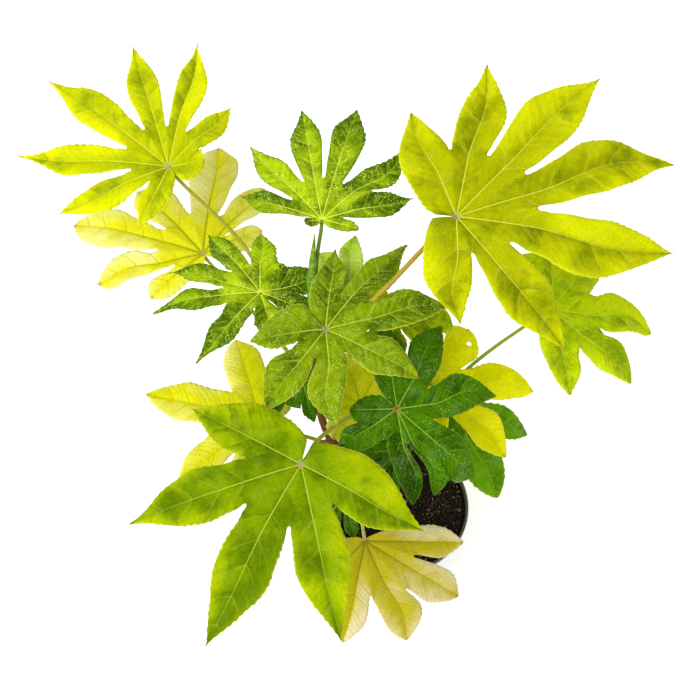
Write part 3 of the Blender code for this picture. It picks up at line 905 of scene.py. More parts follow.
def dot_mask(tree, place, finish, flecked):
    """Fine dots in the flecked parts."""
    dots = add(tree, "TexVoronoi", {"Vector": place.coords, "Scale": cells(DOT_SIZE)})
    dots = add(tree, "MapRange", {0: dots, 1: 0.18, 2: 0.36, 3: finish.specks, 4: 0.0})
    return add(tree, "Math", {0: dots, 1: flecked}, operation="MULTIPLY")


def net_mask(tree, place):
    """The net of the smallest veins, which lie on the borders of cells."""
    borders = {"Vector": place.coords, "Scale": cells(NET_SIZE)}
    borders = add(tree, "TexVoronoi", borders, feature="DISTANCE_TO_EDGE")
    return add(tree, "MapRange", {0: borders, 1: 0.02, 2: 0.14, 3: 0.14, 4: 0.0})


# %% [markdown]
# The veins are drawn by distance: a side vein lies where the phase is a whole number, and the main
# vein where the distance off the midrib is small. Both fade outwards, and side veins begin past the
# web between the lobes.

# %% Veins
SIDE_VEIN_HALF_WIDTH = 0.022  # as a share of the distance between side veins
MAIN_VEIN_HALF_WIDTH = (0.00054, 0.00018)  # at the hub and near the tip, in metres


def side_vein_mask(tree, place, finish, beyond_web):
    """Where the side veins lie."""
    wave = add(tree, "Math", {0: place.phase}, operation="FRACT")
    wave = add(tree, "Math", {0: wave, 1: 0.5}, operation="SUBTRACT")
    wave = add(tree, "Math", {0: wave}, operation="ABSOLUTE")
    start = 0.5 - SIDE_VEIN_HALF_WIDTH * finish.wide
    side_vein = add(tree, "MapRange", {0: wave, 1: start, 2: 0.497, 4: finish.veins})
    outwards = add(tree, "MapRange", {0: place.rim, 1: 0.25, 2: 0.9, 3: 1.0, 4: 0.1})
    side_vein = add(tree, "Math", {0: side_vein, 1: outwards}, operation="MULTIPLY")
    return add(tree, "Math", {0: side_vein, 1: beyond_web}, operation="MULTIPLY")


def main_vein_mask(tree, place, finish):
    """Where the main veins lie."""
    at_hub, at_tip = (width * finish.wide for width in MAIN_VEIN_HALF_WIDTH)
    width = add(tree, "MapRange", {0: place.share, 2: 0.85, 3: at_hub, 4: at_tip})
    near = add(tree, "Math", {0: place.off, 1: width}, operation="DIVIDE")
    main_vein = add(tree, "MapRange", {0: near, 1: 0.3, 2: 1.4, 3: 0.9, 4: 0.0})
    fading = add(tree, "MapRange", {0: place.share, 1: 0.45, 2: 0.95, 3: 1.0, 4: 0.25})
    return add(tree, "Math", {0: main_vein, 1: fading}, operation="MULTIPLY")


# %% [markdown]
# The leaf's own material lays all these layers on in order. The surface is waxy: dull on the whole,
# with patches of shine. The underside has the same pattern, and is paler and dull.

# %% Leaf material
SHINE_SIZE = 17
ROUGHNESS = 0.38
UNDER_ROUGHNESS = 0.8
UNDER_SHINE = 0.05
UNDER_PALE = (0.3, "#C3CE8E")
BUMP_HEIGHT = 0.6  # millimetres
HUB_SPOT = (1.4, 4.2)  # radii of the rosy hub, where it is full and where it ends


def leaf_bump(tree, place, net, grain, side_vein, flecked, beyond_web):
    """Bumps: sunken veins, puffs between them, and a waxy grain that is thicker where flecked."""
    puff = add(tree, "Math", {0: place.phase, 1: 3 * math.tau}, operation="MULTIPLY")
    puff = add(tree, "Math", {0: puff}, operation="SINE")
    puff = add(tree, "Math", {0: puff, 1: beyond_web}, operation="MULTIPLY")
    height = weigh(tree, grain, (net, -2.7), (puff, 0.35), (side_vein, -1.8), (flecked, 0.8))
    return add(tree, "Bump", {"Height": height, "Strength": 0.6, "Distance": BUMP_HEIGHT * MM})


def leaf_shine(tree, place, finish, grain):
    """Patches of shine, broken up by the grain."""
    gloss = {"Vector": place.coords, "Scale": cells(SHINE_SIZE), "Detail": 4, "Roughness": 0.6}
    gloss = add(tree, "TexNoise", gloss)
    dull, bright = 0.1 * finish.shine, 2.2 * finish.shine
    gloss = add(tree, "MapRange", {0: gloss, 1: 0.5, 2: 0.64, 3: dull, 4: bright})
    broken = add(tree, "MapRange", {0: grain, 1: 0.35, 2: 0.6})
    return add(tree, "Math", {0: gloss, 1: broken}, operation="MULTIPLY")


def leaf_finish(name, finish, under=False):
    """A waxy leaf surface in layers; the underside is paler and dull."""
    material, tree, shader = new_material(name + (" underside" if under else ""))
    place = read_place(tree)
    flecked, net = flecked_mask(tree, place), net_mask(tree, place)
    light, deep = sheen_streak_masks(tree, place, finish)
    colour = lay(
        tree, linear(finish.blade),
        (margin_mask(tree, place, finish), finish.margin),
        (blotch_mask(tree, place, finish), finish.patch),
        # Painted sheen: light streaks stand for highlights on the wax, dark ones for the shade between
        # them.
        (light, finish.net),
        (deep, finish.patch),
        (dot_mask(tree, place, finish, flecked), finish.speckle),
        (net, finish.net),
    )
    grain = {"Vector": place.coords, "Scale": cells(GRAIN_SIZE), "Detail": 3, "Roughness": 0.7}
    grain = add(tree, "TexNoise", grain)
    value = weigh(tree, 0.65, (grain, 0.7))
    colour = add(tree, "HueSaturation", {"Value": value, "Color": colour})

    beyond_web = add(tree, "MapRange", {0: place.share, 1: 0.18, 2: 0.36})
    side_vein = side_vein_mask(tree, place, finish, beyond_web)
    full, end = (radius * MM for radius in HUB_SPOT)
    colour = lay(
        tree, colour,
        (side_vein, finish.vein),
        (main_vein_mask(tree, place, finish), finish.vein),
        (add(tree, "MapRange", {0: place.rim, 1: 0.93, 2: 0.99, 4: 0.7}), finish.line),
        (add(tree, "MapRange", {0: place.share, 1: 0.955, 2: 1.0, 4: 0.6}), DRY_TIP),
        (add(tree, "MapRange", {0: place.reach, 1: full, 2: end, 3: 0.85, 4: 0.0}), finish.hub),
    )
    bump = leaf_bump(tree, place, net, grain, side_vein, flecked, beyond_web)
    if under:
        dress(shader, lay(tree, colour, UNDER_PALE), UNDER_ROUGHNESS, UNDER_SHINE, bump)
    else:
        dress(shader, colour, ROUGHNESS, finish.shine, bump)
        shine = leaf_shine(tree, place, finish, grain)
        tree.links.new(shine.outputs[0], shader.inputs["Specular IOR Level"])
    return material


leaf_paint = {
    name: (leaf_finish(name, finish), leaf_finish(name, finish, under=True))
    for name, finish in FINISHES.items()
}
print("leaf materials:", 2 * len(leaf_paint))

# %% [markdown]
# ## Building the blades
# Each lobe starts as a flat grid whose vertices are moved to their places on the blade, with three
# rows to each tooth of the margin and closer ones at the foot of the notch. Neighbouring lobes
# share their points out to the notch, so merging doubles makes one web. One leaf has a small round
# hole, which is cut next.

# %% Blade sheets
ROW_STEP = 1.9
NOTCH_ROWS = (0, 0.008, 0.02)  # closer rows at the notch, as shares of the lobe past it
ROWS_RESUME = 0.03  # how far past the notch the even rows begin again
COLUMN_STEP = 16
COLUMN_CROWDING = 1.15  # over 1, the columns are closer by the midrib
HOLES = {"yellow_right": [(3, 0.78, -0.45, 2.6)]}  # lobe, share along, place across, radius


def lobe_rows(leaf, length):
    """Shares along a lobe: even out to the notch, where lobes meet, and then three to a tooth."""
    inner = max(6, round(NOTCH * longest_lobe(leaf) / ROW_STEP))
    count = 3 * tooth_count(length)
    rows = [NOTCH * row / inner for row in range(inner)] + [NOTCH + past for past in NOTCH_ROWS]
    return rows + [row / count for row in range(count + 1) if row / count > NOTCH + ROWS_RESUME]


def blade_sheet(bm, leaf):
    """The thin sheet of a whole blade, whose vertices remember their places."""
    lobe_layer = bm.verts.layers.float_vector.new("lobe")
    vein_layer = bm.verts.layers.float_vector.new("veins")
    for index, lobe in enumerate(leaf.lobes):
        rows = lobe_rows(leaf, lobe.length)
        columns = 2 * min(10, max(5, round(lobe.length / COLUMN_STEP)))
        grid = bmesh.ops.create_grid(bm, x_segments=columns, y_segments=len(rows) - 1, size=1)
        for vert in grid["verts"]:
            row = round((vert.co.y + 1) / 2 * (len(rows) - 1))
            across = math.copysign(abs(vert.co.x) ** COLUMN_CROWDING, vert.co.x)
            spot = blade_spot(leaf, index, rows[row], across)
            vert.co = spot.point
            vert[lobe_layer] = (spot.tone, spot.off * MM, spot.rim)
            vert[vein_layer] = (spot.phase, spot.reach * MM, spot.share)
    bmesh.ops.remove_doubles(bm, verts=bm.verts, dist=0.01)
    bmesh.ops.dissolve_degenerate(bm, dist=0.001, edges=bm.edges)


def cut_hole(bm, middle, radius):
    """Cut a round hole in a sheet."""
    inside = [face for face in bm.faces if (face.calc_center_median() - middle).length < radius]
    around = {vert for face in inside for vert in face.verts}
    bmesh.ops.delete(bm, geom=inside, context="FACES")
    for vert in around:
        if vert.is_valid:
            vert.co = middle + (vert.co - middle).normalized() * radius


# %% [markdown]
# Then the sheet gets its thickness, by extruding it downwards, with a material of its own below. A
# round rib runs under each main vein, thinner towards the tip.

# %% Blades
BLADE_THICKNESS = 0.5
RIB_RADIUS = 1.15
RIB_TIP_RADIUS = 0.25
RIB_TAPER = 1.3  # over 1, a rib loses more of its thickness near the hub
RIB_DEPTH = 0.7  # how far under the sheet's middle a rib's middle lies, as a share of its radius
RIB_SHORTEST = 0.35  # a rib's thickness on a lobe of no length, as a share of the usual
RIB_LONGER = 150  # and the length that adds the whole of the usual
RIB_SIDES = 6
RIB_STEPS = 41
UPPER, LOWER = 0, 1  # the two materials of a blade


def thicken(bm):
    """Give the sheet its thickness and its two sides."""
    grown = bmesh.ops.extrude_face_region(bm, geom=list(bm.faces), use_keep_orig=True)["geom"]
    below = only(bmesh.types.BMVert, grown)
    bmesh.ops.translate(bm, vec=Vector((0, 0, -BLADE_THICKNESS)), verts=below)
    bmesh.ops.recalc_face_normals(bm, faces=bm.faces)
    if bm.calc_volume(signed=True) < 0:
        bmesh.ops.reverse_faces(bm, faces=bm.faces)
    for face in bm.faces:
        face.material_index = LOWER if face.normal.z < 0 else UPPER


def add_rib(bm, leaf, index):
    """The rib under one lobe's main vein."""
    length = leaf.lobes[index].length
    path, radii = [], []
    for step in range(2, RIB_STEPS - 1):
        share = step / RIB_STEPS
        radius = RIB_TIP_RADIUS + (RIB_RADIUS - RIB_TIP_RADIUS) * (1 - share) ** RIB_TAPER
        radius *= min(1.0, RIB_SHORTEST + length / RIB_LONGER)
        under = Vector((0, 0, BLADE_THICKNESS / 2 + radius * RIB_DEPTH))
        path.append(blade_spot(leaf, index, share, 0.0).point - under)
        radii.append(radius)
    ring = sweep(bm, path, lambda share: radii[min(int(share * len(radii)), len(radii) - 1)], RIB_SIDES)
    lobe_layer, vein_layer = (bm.verts.layers.float_vector[name] for name in ("lobe", "veins"))
    for vert in ring:
        reach = vert.co.xy.length
        vert[lobe_layer] = (0, 0, 0)
        vert[vein_layer] = (0.5, reach * MM, reach / length)
    for face in {face for vert in ring for face in vert.link_faces}:
        face.material_index = LOWER


for name, leaf in LEAVES.items():
    bm = bmesh.new()
    blade_sheet(bm, leaf)
    for index, share, across, radius in HOLES.get(name, []):
        cut_hole(bm, blade_spot(leaf, index, share, across).point, radius)
    thicken(bm)
    for index in range(len(leaf.lobes)):
        add_rib(bm, leaf, index)
    bmesh.ops.transform(bm, matrix=leaf_place(leaf), verts=bm.verts)
    finish_piece(bm, "leaf_" + name, leaf_paint[FINISH_OF[name]], leaf.slot, "blade_" + name)

# %% [markdown]
# ## Stalks
# A stalk clasps its stem with a swollen base, climbs away from it, and comes in under the hub from
# the blade's open side, where it flares a little. Its path is worked out from the plan.

# %% Paths of the stalks
FOOT_RADIUS = 2.3
FOOT_CLEARANCE = 1.1
CLIMB = 0.08  # how far out and up a stalk's first bend lies, as a share of its length
LAST = 0.1  # how far before its end its last bend lies, as a share of its length
LEVEL = 0.3  # how far that bend leans out to the blade's open side
DROP = 0.8  # slope, down from the blade, of that side's direction
START_OUT = 0.5  # how far from a stem's middle a stalk starts, as a share of the stem's radius
START_DROP = 2  # and how far below its foot
STALK_STEP = 3


def stem_at(stem, height):
    """Middle and radius of a stem at this height, on straight lines between its points."""
    spans = zip(stem.points, stem.points[1:], stem.radii, stem.radii[1:])
    for low, high, radius, radius_above in spans:
        if height <= high[2]:
            share = (height - low[2]) / (high[2] - low[2])
            return Vector(low).lerp(Vector(high), share), radius + share * (radius_above - radius)
    return Vector(stem.points[-1]), stem.radii[-1]


def stalk_path(leaf):
    """A smooth path from inside the stem to the underside of the hub."""
    middle, radius = stem_at(STEMS[leaf.stem], leaf.foot)
    place = leaf_place(leaf)
    end = place @ Vector((0, 0, -HUB_DIP - BLADE_THICKNESS))
    open_side = math.radians((leaf.lobes[0].angle + 360 + leaf.lobes[-1].angle) / 2)
    open_side = Vector((-math.sin(open_side), math.cos(open_side), -DROP))
    inward = (place.to_3x3() @ open_side).normalized()
    away = Vector(leaf.via[0] if leaf.via else end) - middle
    away.z = 0
    away.normalize()
    foot = middle + away * (radius + FOOT_RADIUS + FOOT_CLEARANCE)
    length = (end - foot).length
    climb = foot + (away + Vector((0, 0, 1))) * CLIMB * length
    passing = [Vector(point) for point in leaf.via]
    last = passing[-1] if passing else climb
    before = end + (last - end).normalized().lerp(inward, LEVEL) * LAST * length
    start = middle + away * START_OUT * radius - Vector((0, 0, START_DROP))
    return smooth_path([start, foot, climb, *passing, before, end], STALK_STEP)


print("stalk of the crown:", len(stalk_path(LEAVES["crown"])), "points")

# %% [markdown]
# Large leaves have thicker stalks. The colour runs from a reddish or greener foot to the colour near
# the blade, with fine streaks.

# %% Stalks
STALK_RADIUS = 1.9  # just past the base, for a leaf of 100 mm
STALK_TIP_RADIUS = 1.5
STALK_BASE_RADIUS = 3.3
STALK_BASE_SHARE = (0.14, 0.02)  # where the swollen base ends and where it is full
STALK_FLARE = 0.5
STALK_FLARE_SHARE = 0.96
STALK_THICKER = 0.3  # power of a leaf's size by which its stalk is thicker
STALK_SIDES = 12
STREAK_SIZE = 2.4

STALK_FINISHES = {  # colour at the foot, colour near the blade
    "olive stalk": ("#9A8428", "#A8A62C"),
    "orange stalk": ("#9C6A22", "#B49A2E"),
    "green stalk": ("#7E7A22", "#8CA028"),
    "dark stalk": ("#6A6420", "#62801C"),
    "pale stalk": ("#C2B462", "#D8D48C"),
}
STALK_FINISH_OF = {  # the others are green
    "upper_left": "olive stalk", "big_right": "orange stalk", "top": "dark stalk",
    "pale_front": "pale stalk", "mid_left": "dark stalk", "dark_right": "dark stalk",
    "low_right": "dark stalk", "big_front": "olive stalk", "yellow_left": "olive stalk",
    "pale_left": "olive stalk",
}


def stalk_finish(name, foot_colour, top_colour):
    """Smooth green bark of a leaf stalk, with fine streaks."""
    material, tree, shader = new_material(name)
    coords = add(tree, "TexCoord").outputs["Object"]
    upper = add(tree, "MapRange", {0: read(tree, "run")[0], 1: 0.0, 2: 0.45})
    streaks = add(tree, "TexNoise", {"Vector": coords, "Scale": cells(STREAK_SIZE), "Detail": 2})
    streaks = add(tree, "MapRange", {0: streaks, 1: 0.45, 2: 0.7, 4: 0.35})
    colour = lay(tree, linear(foot_colour), (upper, top_colour), (streaks, "#7A5A20"))
    dress(shader, colour, 0.5, 0.15)
    return material


def stalk_radius(size, share):
    """Thick and clasping at the stem, even along its length, a little flared at the blade."""
    thicker = (size / 100) ** STALK_THICKER
    even = STALK_RADIUS + (STALK_TIP_RADIUS - STALK_RADIUS) * share
    base = (STALK_BASE_RADIUS - STALK_RADIUS) * smooth(*STALK_BASE_SHARE, share)
    return thicker * even + base + STALK_FLARE * smooth(STALK_FLARE_SHARE, 1, share)


stalk_paint = {name: stalk_finish(name, *colours) for name, colours in STALK_FINISHES.items()}
for name, leaf in LEAVES.items():
    bm = bmesh.new()
    size = longest_lobe(leaf)
    sweep(bm, stalk_path(leaf), lambda share: stalk_radius(size, share), STALK_SIDES)
    paint = stalk_paint[STALK_FINISH_OF.get(name, "green stalk")]
    finish_piece(bm, "leaf_stalk_" + name, [paint], "leaf_stalk", "stalk_" + name)

# %% [markdown]
# ## Stems
# The stems are woody below and greener above. They thicken where a stalk joins, are ringed by the
# scars of older leaves, and their bark is finely ridged.

# %% Stems
STEM_SIDES = 28
STEM_STEP = 1.2
JOINT_SWELLING = 0.7
JOINT_REACH = 5
SCAR_STEP = 11
SCAR_DEPTH = 0.28
BARK_DEPTH = 0.22
BARK_GRAIN = 2.4
BARK_STRETCH = 4  # how much longer than wide the ridges and fissures are
FISSURE_SIZE = 1.9
FISSURE_DEPTH = 0.6
PORE_SIZE = 3.8
STEM_END = (1.01, 0.975)  # shares of its path between which a stem's top is rounded off

bark, tree, shader = new_material("young woody bark")  # reddish brown below, greener above
coords = add(tree, "TexCoord").outputs["Object"]
upper = add(tree, "MapRange", {0: read(tree, "run")[0], 1: 0.45, 2: 1.0})
stretched = add(tree, "Mapping", {"Vector": coords, "Scale": (1, 1, 1 / BARK_STRETCH)})
fissures = {"Vector": stretched, "Scale": cells(FISSURE_SIZE), "Detail": 4, "Roughness": 0.6}
fissures = add(tree, "TexNoise", fissures)
dark = add(tree, "MapRange", {0: fissures, 1: 0.42, 2: 0.62, 4: 0.75})
pores = add(tree, "TexVoronoi", {"Vector": coords, "Scale": cells(PORE_SIZE)})
pores = add(tree, "MapRange", {0: pores, 1: 0.08, 2: 0.2, 3: 0.7, 4: 0.0})
colour = lay(tree, linear("#7C4A26"), (upper, "#76702A"), (dark, "#4A2A16"), (pores, "#B08A5C"))
bump = add(tree, "Bump", {"Height": fissures, "Strength": 0.6, "Distance": FISSURE_DEPTH * MM})
dress(shader, colour, 0.75, 0.2, bump)


def stem_radius(stem, joints, point):
    """A stem's radius at a point of its path, with its joints and scars."""
    radius = stem_at(stem, point.z)[1]
    for joint in joints:
        radius += JOINT_SWELLING * math.exp(-(((point.z - joint) / JOINT_REACH) ** 2))
    return radius - SCAR_DEPTH * max(0, math.sin(math.tau * point.z / SCAR_STEP)) ** 8


for name, stem in STEMS.items():
    bm = bmesh.new()
    path = smooth_path(stem.points, STEM_STEP)
    joints = [leaf.foot for leaf in LEAVES.values() if leaf.stem == name]

    def radius_at(share):
        """The radius at this share of the path, rounded off at the top."""
        point = path[min(round(share * (len(path) - 1)), len(path) - 1)]
        return stem_radius(stem, joints, point) * math.sqrt(smooth(*STEM_END, share) + 0.02)

    ring = sweep(bm, path, radius_at, STEM_SIDES)
    bm.normal_update()
    for vert in ring:
        ridged = Vector((vert.co.x, vert.co.y, vert.co.z / BARK_STRETCH)) / BARK_GRAIN
        vert.co += vert.normal * noise.noise(ridged) * BARK_DEPTH
    finish_piece(bm, name + "_wood", [bark], "stem_bark", name)

# %% [markdown]
# ## The shoot tip
# The main stem ends in a bud of pointed scales that clasp one another. Each scale is a flattened
# sphere that narrows upwards.

# %% Shoot tip
SHOOT_POINTS = [(-82, 99, 299), (-84, 110, 306), (-84, 128, 313), (-83, 146, 322), (-81, 169, 334)]
SHOOT_RADII = [2.0, 3.0, 3.8, 2.7, 0.4]
SHOOT_STEP = 1.5
SHOOT_SIDES = 14
SCALES = [(0.3, 20, 17), (0.38, 150, 16), (0.48, 265, 15), (0.6, 60, 13)]  # place, turn, length
SCALE_WIDTH = 2.2
SCALE_THICKNESS = 0.55
SCALE_LEAN = 7
SCALE_TAPER = 0.9  # how much narrower a scale is at its tip
SCALE_ROOT = 0.8  # how far below the middle of its sphere a scale is rooted
SCALE_OUT = 0.8  # how far from the bud's middle, as a share of the bud's radius
DOWN_SIZE = 3.3

bud, tree, shader = new_material("young green bud")  # tender, pale green and slightly downy
coords = add(tree, "TexCoord").outputs["Object"]
down = add(tree, "TexNoise", {"Vector": coords, "Scale": cells(DOWN_SIZE), "Detail": 3})
down = add(tree, "MapRange", {0: down, 1: 0.4, 2: 0.7})
dress(shader, lay(tree, linear("#5A8414"), (down, "#8CAE34")), 0.7, 0.15)


def shoot_radius(share):
    """The bud's radius, on straight lines between the plan's radii."""
    place = share * (len(SHOOT_RADII) - 1)
    low = min(int(place), len(SHOOT_RADII) - 2)
    return SHOOT_RADII[low] + (place - low) * (SHOOT_RADII[low + 1] - SHOOT_RADII[low])


bm = bmesh.new()
path = smooth_path(SHOOT_POINTS, SHOOT_STEP)
sweep(bm, path, shoot_radius, SHOOT_SIDES)
for share, turn, length in SCALES:
    verts = bmesh.ops.create_uvsphere(bm, u_segments=12, v_segments=10, radius=1)["verts"]
    for vert in verts:
        narrowing = 1 - SCALE_TAPER * smooth(-0.2, 1, vert.co.z)
        vert.co.x *= SCALE_WIDTH * narrowing
        vert.co.y *= SCALE_THICKNESS * narrowing
        vert.co.z = (vert.co.z + SCALE_ROOT) * length / (1 + SCALE_ROOT)
    number = round(share * (len(path) - 2))
    upwards = (path[number + 1] - path[number]).normalized().to_track_quat("Z", "Y")
    place = Matrix.Translation(path[number]) @ upwards.to_matrix().to_4x4()
    place = place @ Matrix.Rotation(math.radians(turn), 4, "Z")
    place = place @ Matrix.Translation((0, shoot_radius(share) * SCALE_OUT, 0))
    place = place @ Matrix.Rotation(-math.radians(SCALE_LEAN), 4, "X")
    bmesh.ops.transform(bm, matrix=place, verts=verts)
finish_piece(bm, "shoot_bud", [bud], "leaf_stalk", "shoot_tip")

# %% [markdown]
# ## The pot
# A thin-walled nursery pot: a tapered wall with a foot, and a band round the top with a rolled lip.
# The wall is spun from its section, from the foot's inner edge up the outside, over the lip and down
# the inside.

# %% Pot sizes and section
POT_HEIGHT = 100
RIM_RADIUS = 65
BASE_RADIUS = 44
WALL = 1.6
BAND_HEIGHT = 11
BAND_PROUD = 1.8
BAND_FOOT = POT_HEIGHT - BAND_HEIGHT
FOOT_WIDTH = 4
LIP = 1.5
POT_STEPS = 144


def wall_radius(height):
    """Outer radius of the tapered wall at this height."""
    return BASE_RADIUS + (RIM_RADIUS - BAND_PROUD - BASE_RADIUS) * height / POT_HEIGHT


def spin(bm, section, steps):
    """Spin a section of radii and heights right round the pot's middle."""
    verts = [bm.verts.new((radius, 0, height)) for radius, height in section]
    edges = [bm.edges.new(pair) for pair in zip(verts, verts[1:])]
    bmesh.ops.spin(
        bm, geom=verts + edges, cent=(0, 0, 0), axis=(0, 0, 1), angle=math.tau, steps=steps,
        use_merge=True,
    )
    bmesh.ops.remove_doubles(bm, verts=bm.verts, dist=0.01)


foot = [
    (BASE_RADIUS - FOOT_WIDTH, 0.9), (BASE_RADIUS - FOOT_WIDTH + 1, 0.1),
    (BASE_RADIUS - 0.7, 0), (BASE_RADIUS - 0.1, 0.4),
]
outside = [(wall_radius(height), height) for height in (1, 25, 50, 75, BAND_FOOT - 1.6)]
band = [
    (wall_radius(BAND_FOOT) + 0.5, BAND_FOOT - 0.7), (RIM_RADIUS - 1.1, BAND_FOOT),
    (RIM_RADIUS - 0.6, BAND_FOOT + 0.5), (RIM_RADIUS - 0.5, BAND_FOOT + 4),
]
lip = [
    (RIM_RADIUS - 0.4, POT_HEIGHT - 2.6), (RIM_RADIUS - 0.1, POT_HEIGHT - 1.9),
    (RIM_RADIUS, POT_HEIGHT - 1.1), (RIM_RADIUS - 0.3, POT_HEIGHT - 0.4),
    (RIM_RADIUS - 1, POT_HEIGHT), (RIM_RADIUS - LIP - 0.7, POT_HEIGHT - 0.2),
    (RIM_RADIUS - LIP - 1.1, POT_HEIGHT - 0.8), (RIM_RADIUS - LIP - 1.2, POT_HEIGHT - 1.8),
]
inside = [
    (wall_radius(BAND_FOOT + 1) - WALL + 2.1, BAND_FOOT + 1),
    (wall_radius(BAND_FOOT) - WALL, BAND_FOOT), (wall_radius(50) - WALL, 50),
    (wall_radius(2) - WALL, 2.2), (BASE_RADIUS - FOOT_WIDTH, 2.1),
]
bm = bmesh.new()
spin(bm, [*foot, *outside, *band, *lip, *inside, foot[0]], POT_STEPS)
print("pot wall:", len(bm.faces), "faces")

# %% [markdown]
# The pot's floor is a disc with six drain holes, filled between its edge and the edges of the holes
# and then given its thickness.

# %% Pot floor and plastic
DRAIN_HOLES = 6
DRAIN_RADIUS = 4.5
DRAIN_CIRCLE = 30
DRAIN_SIDES = 32
POT_FLOOR_HEIGHT = 0.4
POT_FLOOR_OVERLAP = 0.5  # how far the floor's edge lies inside the foot
DUST_SIZE = 17
MOULD_GRAIN_SIZE = 1.1
MOULD_GRAIN_DEPTH = 0.2
SOIL_AND_HIGHLIGHT_HEIGHTS = (90, 99)  # where soil and a painted highlight begin to show on the plastic, and where they show most

plastic, tree, shader = new_material("black plastic")  # thin moulded plastic, satin, a little dusty, with soil and a painted highlight round the rim
coords = add(tree, "TexCoord").outputs["Object"]
dust = add(tree, "TexNoise", {"Vector": coords, "Scale": cells(DUST_SIZE), "Detail": 4})
dust = add(tree, "MapRange", {0: dust, 1: 0.45, 2: 0.75, 4: 0.25})
height = add(tree, "SeparateXYZ", {0: coords}).outputs[2]
low, high = (soil_and_rim_highlight * MM for soil_and_rim_highlight in SOIL_AND_HIGHLIGHT_HEIGHTS)
# Lighter towards the rim: soil on the plastic and a painted highlight on the band and lip.
soil_and_rim_highlight = add(tree, "MapRange", {0: height, 1: low, 2: high, 4: 0.7})
dust = add(tree, "Math", {0: soil_and_rim_highlight, 1: dust}, operation="ADD")
grain = add(tree, "TexNoise", {"Vector": coords, "Scale": cells(MOULD_GRAIN_SIZE), "Detail": 2})
bump = add(tree, "Bump", {"Height": grain, "Strength": 0.2, "Distance": MOULD_GRAIN_DEPTH * MM})
dress(shader, lay(tree, linear("#18181A"), (dust, "#6A6054")), 0.42, 0.4, bump)

floor_radius = BASE_RADIUS - FOOT_WIDTH + POT_FLOOR_OVERLAP
flat = bmesh.ops.create_circle(bm, segments=POT_STEPS, radius=floor_radius)["verts"]
for number in range(DRAIN_HOLES):
    place = Matrix.Rotation(math.tau * number / DRAIN_HOLES, 4, "Z")
    place = place @ Matrix.Translation((DRAIN_CIRCLE, 0, 0))
    hole = bmesh.ops.create_circle(bm, segments=DRAIN_SIDES, radius=DRAIN_RADIUS, matrix=place)
    flat += hole["verts"]
bmesh.ops.translate(bm, vec=(0, 0, POT_FLOOR_HEIGHT), verts=flat)
outline = list({edge for vert in flat for edge in vert.link_edges})
disc = bmesh.ops.triangle_fill(bm, use_beauty=True, edges=outline)["geom"]
disc = only(bmesh.types.BMFace, disc)
thick = bmesh.ops.extrude_face_region(bm, geom=disc, use_keep_orig=True)["geom"]
bmesh.ops.translate(bm, vec=(0, 0, WALL), verts=only(bmesh.types.BMVert, thick))
bmesh.ops.recalc_face_normals(bm, faces=bm.faces)
finish_piece(bm, "nursery_pot", [plastic], "pot_plastic", "pot", sharp=50)

# %% [markdown]
# ## Soil
# The mix fills the pot to a little below its rim. It is spun from a section with many rings across
# its top, and seeded noise then makes that surface lumpy.

# %% Soil
SOIL_TOP = 93
SOIL_EDGE = RIM_RADIUS - LIP - 1.9
SOIL_STEPS = 120
SOIL_RINGS = 40
SOIL_LUMPS = [(13, 2.2), (4.5, 1.0), (1.8, 0.5)]  # width and height of the lumps, large to small
SOIL_MOUND = 2.0
SOIL_CLEARANCE = 0.6  # between the mix and the pot's floor and wall
PEAT_GRAIN_SIZE = 1.4
PEAT_GRAIN_DEPTH = 1


def soil_height(x, y):
    """Height of the soil's surface over the pot's floor at this place."""
    inside = 1 - math.hypot(x, y) / wall_radius(SOIL_TOP)
    lumps = 0
    for width, height in SOIL_LUMPS:
        lumps += height * noise.noise(Vector((x / width, y / width, width)))
    return SOIL_TOP + SOIL_MOUND * inside + lumps * smooth(0, 0.05, inside)


peat, tree, shader = new_material("moist peat")  # nearly black, matt, faintly brown
coords = add(tree, "TexCoord").outputs["Object"]
grain = {"Vector": coords, "Scale": cells(PEAT_GRAIN_SIZE), "Detail": 5, "Roughness": 0.7}
grain = add(tree, "TexNoise", grain)
drier = add(tree, "MapRange", {0: grain, 1: 0.35, 2: 0.7})
bump = add(tree, "Bump", {"Height": grain, "Strength": 0.9, "Distance": PEAT_GRAIN_DEPTH * MM})
dress(shader, lay(tree, linear("#080605"), (drier, "#241911")), 0.9, 0.25, bump)

bottom = WALL + SOIL_CLEARANCE
section = [(0, bottom), (wall_radius(WALL) - WALL - SOIL_CLEARANCE, bottom)]
section += [(wall_radius(BAND_FOOT - 1) - WALL - SOIL_CLEARANCE / 2, BAND_FOOT - 1)]
section += [(SOIL_EDGE * (1 - ring / SOIL_RINGS), SOIL_TOP) for ring in range(SOIL_RINGS + 1)]
bm = bmesh.new()
spin(bm, section, SOIL_STEPS)
for vert in bm.verts:
    if vert.co.z > SOIL_TOP - 1:
        vert.co.z = soil_height(vert.co.x, vert.co.y)
bmesh.ops.recalc_face_normals(bm, faces=bm.faces)
finish_piece(bm, "peat_mix", [peat], "potting_soil", "soil")

# %% [markdown]
# Three kinds of bits lie on the soil, each in its own colour: crumbs of peat, chips of bark and
# white grains of perlite. A seeded random strews them and gives each a size, a turn and a rough
# outline of its own.

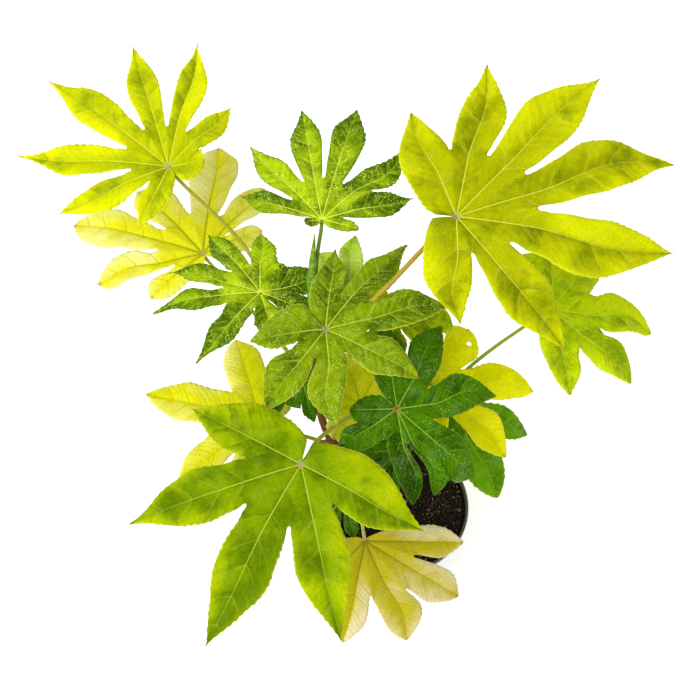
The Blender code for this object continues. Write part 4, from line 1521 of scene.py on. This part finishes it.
# %% Bits on the soil
Bits = namedtuple("Bits", "count low high shape light dark gloss")
BITS = {
    "peat crumb": Bits(1500, 0.5, 1.8, (1, 1, 0.8), "#34241A", "#0A0705", 0.4),
    "bark chip": Bits(620, 0.4, 1.3, (1.4, 0.6, 0.4), "#C08C54", "#3A2413", 0.4),
    "perlite grain": Bits(150, 0.3, 0.75, (1, 0.9, 0.9), "#F0EEE8", "#C9C4B8", 0.2),
}
BITS_CLEARANCE = 1.5  # between the bits and the soil's edge
BITS_RAISED = 0.25  # how high over the soil a bit's middle lies, as a share of its size
BITS_TILT = 0.5
BITS_ROUGHNESS = 0.25  # how far a bit's corners are moved, as a share of its size
BITS_TONE_SIZE = 4.2
BITS_SEED = 11


def bits_finish(name, bits):
    """Dry bits that vary between two tones from place to place."""
    material, tree, shader = new_material(name)
    coords = add(tree, "TexCoord").outputs["Object"]
    tone = add(tree, "TexNoise", {"Vector": coords, "Scale": cells(BITS_TONE_SIZE), "Detail": 3})
    tone = add(tree, "MapRange", {0: tone, 1: 0.35, 2: 0.65})
    dress(shader, lay(tree, linear(bits.dark), (tone, bits.light)), 0.8, bits.gloss)
    return material


rng = random.Random(BITS_SEED)
for name, bits in BITS.items():
    bm = bmesh.new()
    for _ in range(bits.count):
        radius = (SOIL_EDGE - BITS_CLEARANCE) * math.sqrt(rng.random())
        turn = math.tau * rng.random()
        x, y = radius * math.cos(turn), radius * math.sin(turn)
        size = bits.low + (bits.high - bits.low) * rng.random() ** 2
        place = Matrix.Translation((x, y, soil_height(x, y) + BITS_RAISED * size))
        place = place @ Matrix.Rotation(math.tau * rng.random(), 4, "Z")
        place = place @ Matrix.Rotation(rng.uniform(-BITS_TILT, BITS_TILT), 4, "X")
        place = place @ Matrix.Diagonal((*(size * part for part in bits.shape), 1))
        verts = bmesh.ops.create_icosphere(bm, subdivisions=1, radius=1)["verts"]
        for vert in verts:
            vert.co *= 1 + BITS_ROUGHNESS * rng.uniform(-1, 1)
        bmesh.ops.transform(bm, matrix=place, verts=verts)
    finish_piece(bm, name.replace(" ", "_"), [bits_finish(name, bits)], "potting_soil", sharp=35)
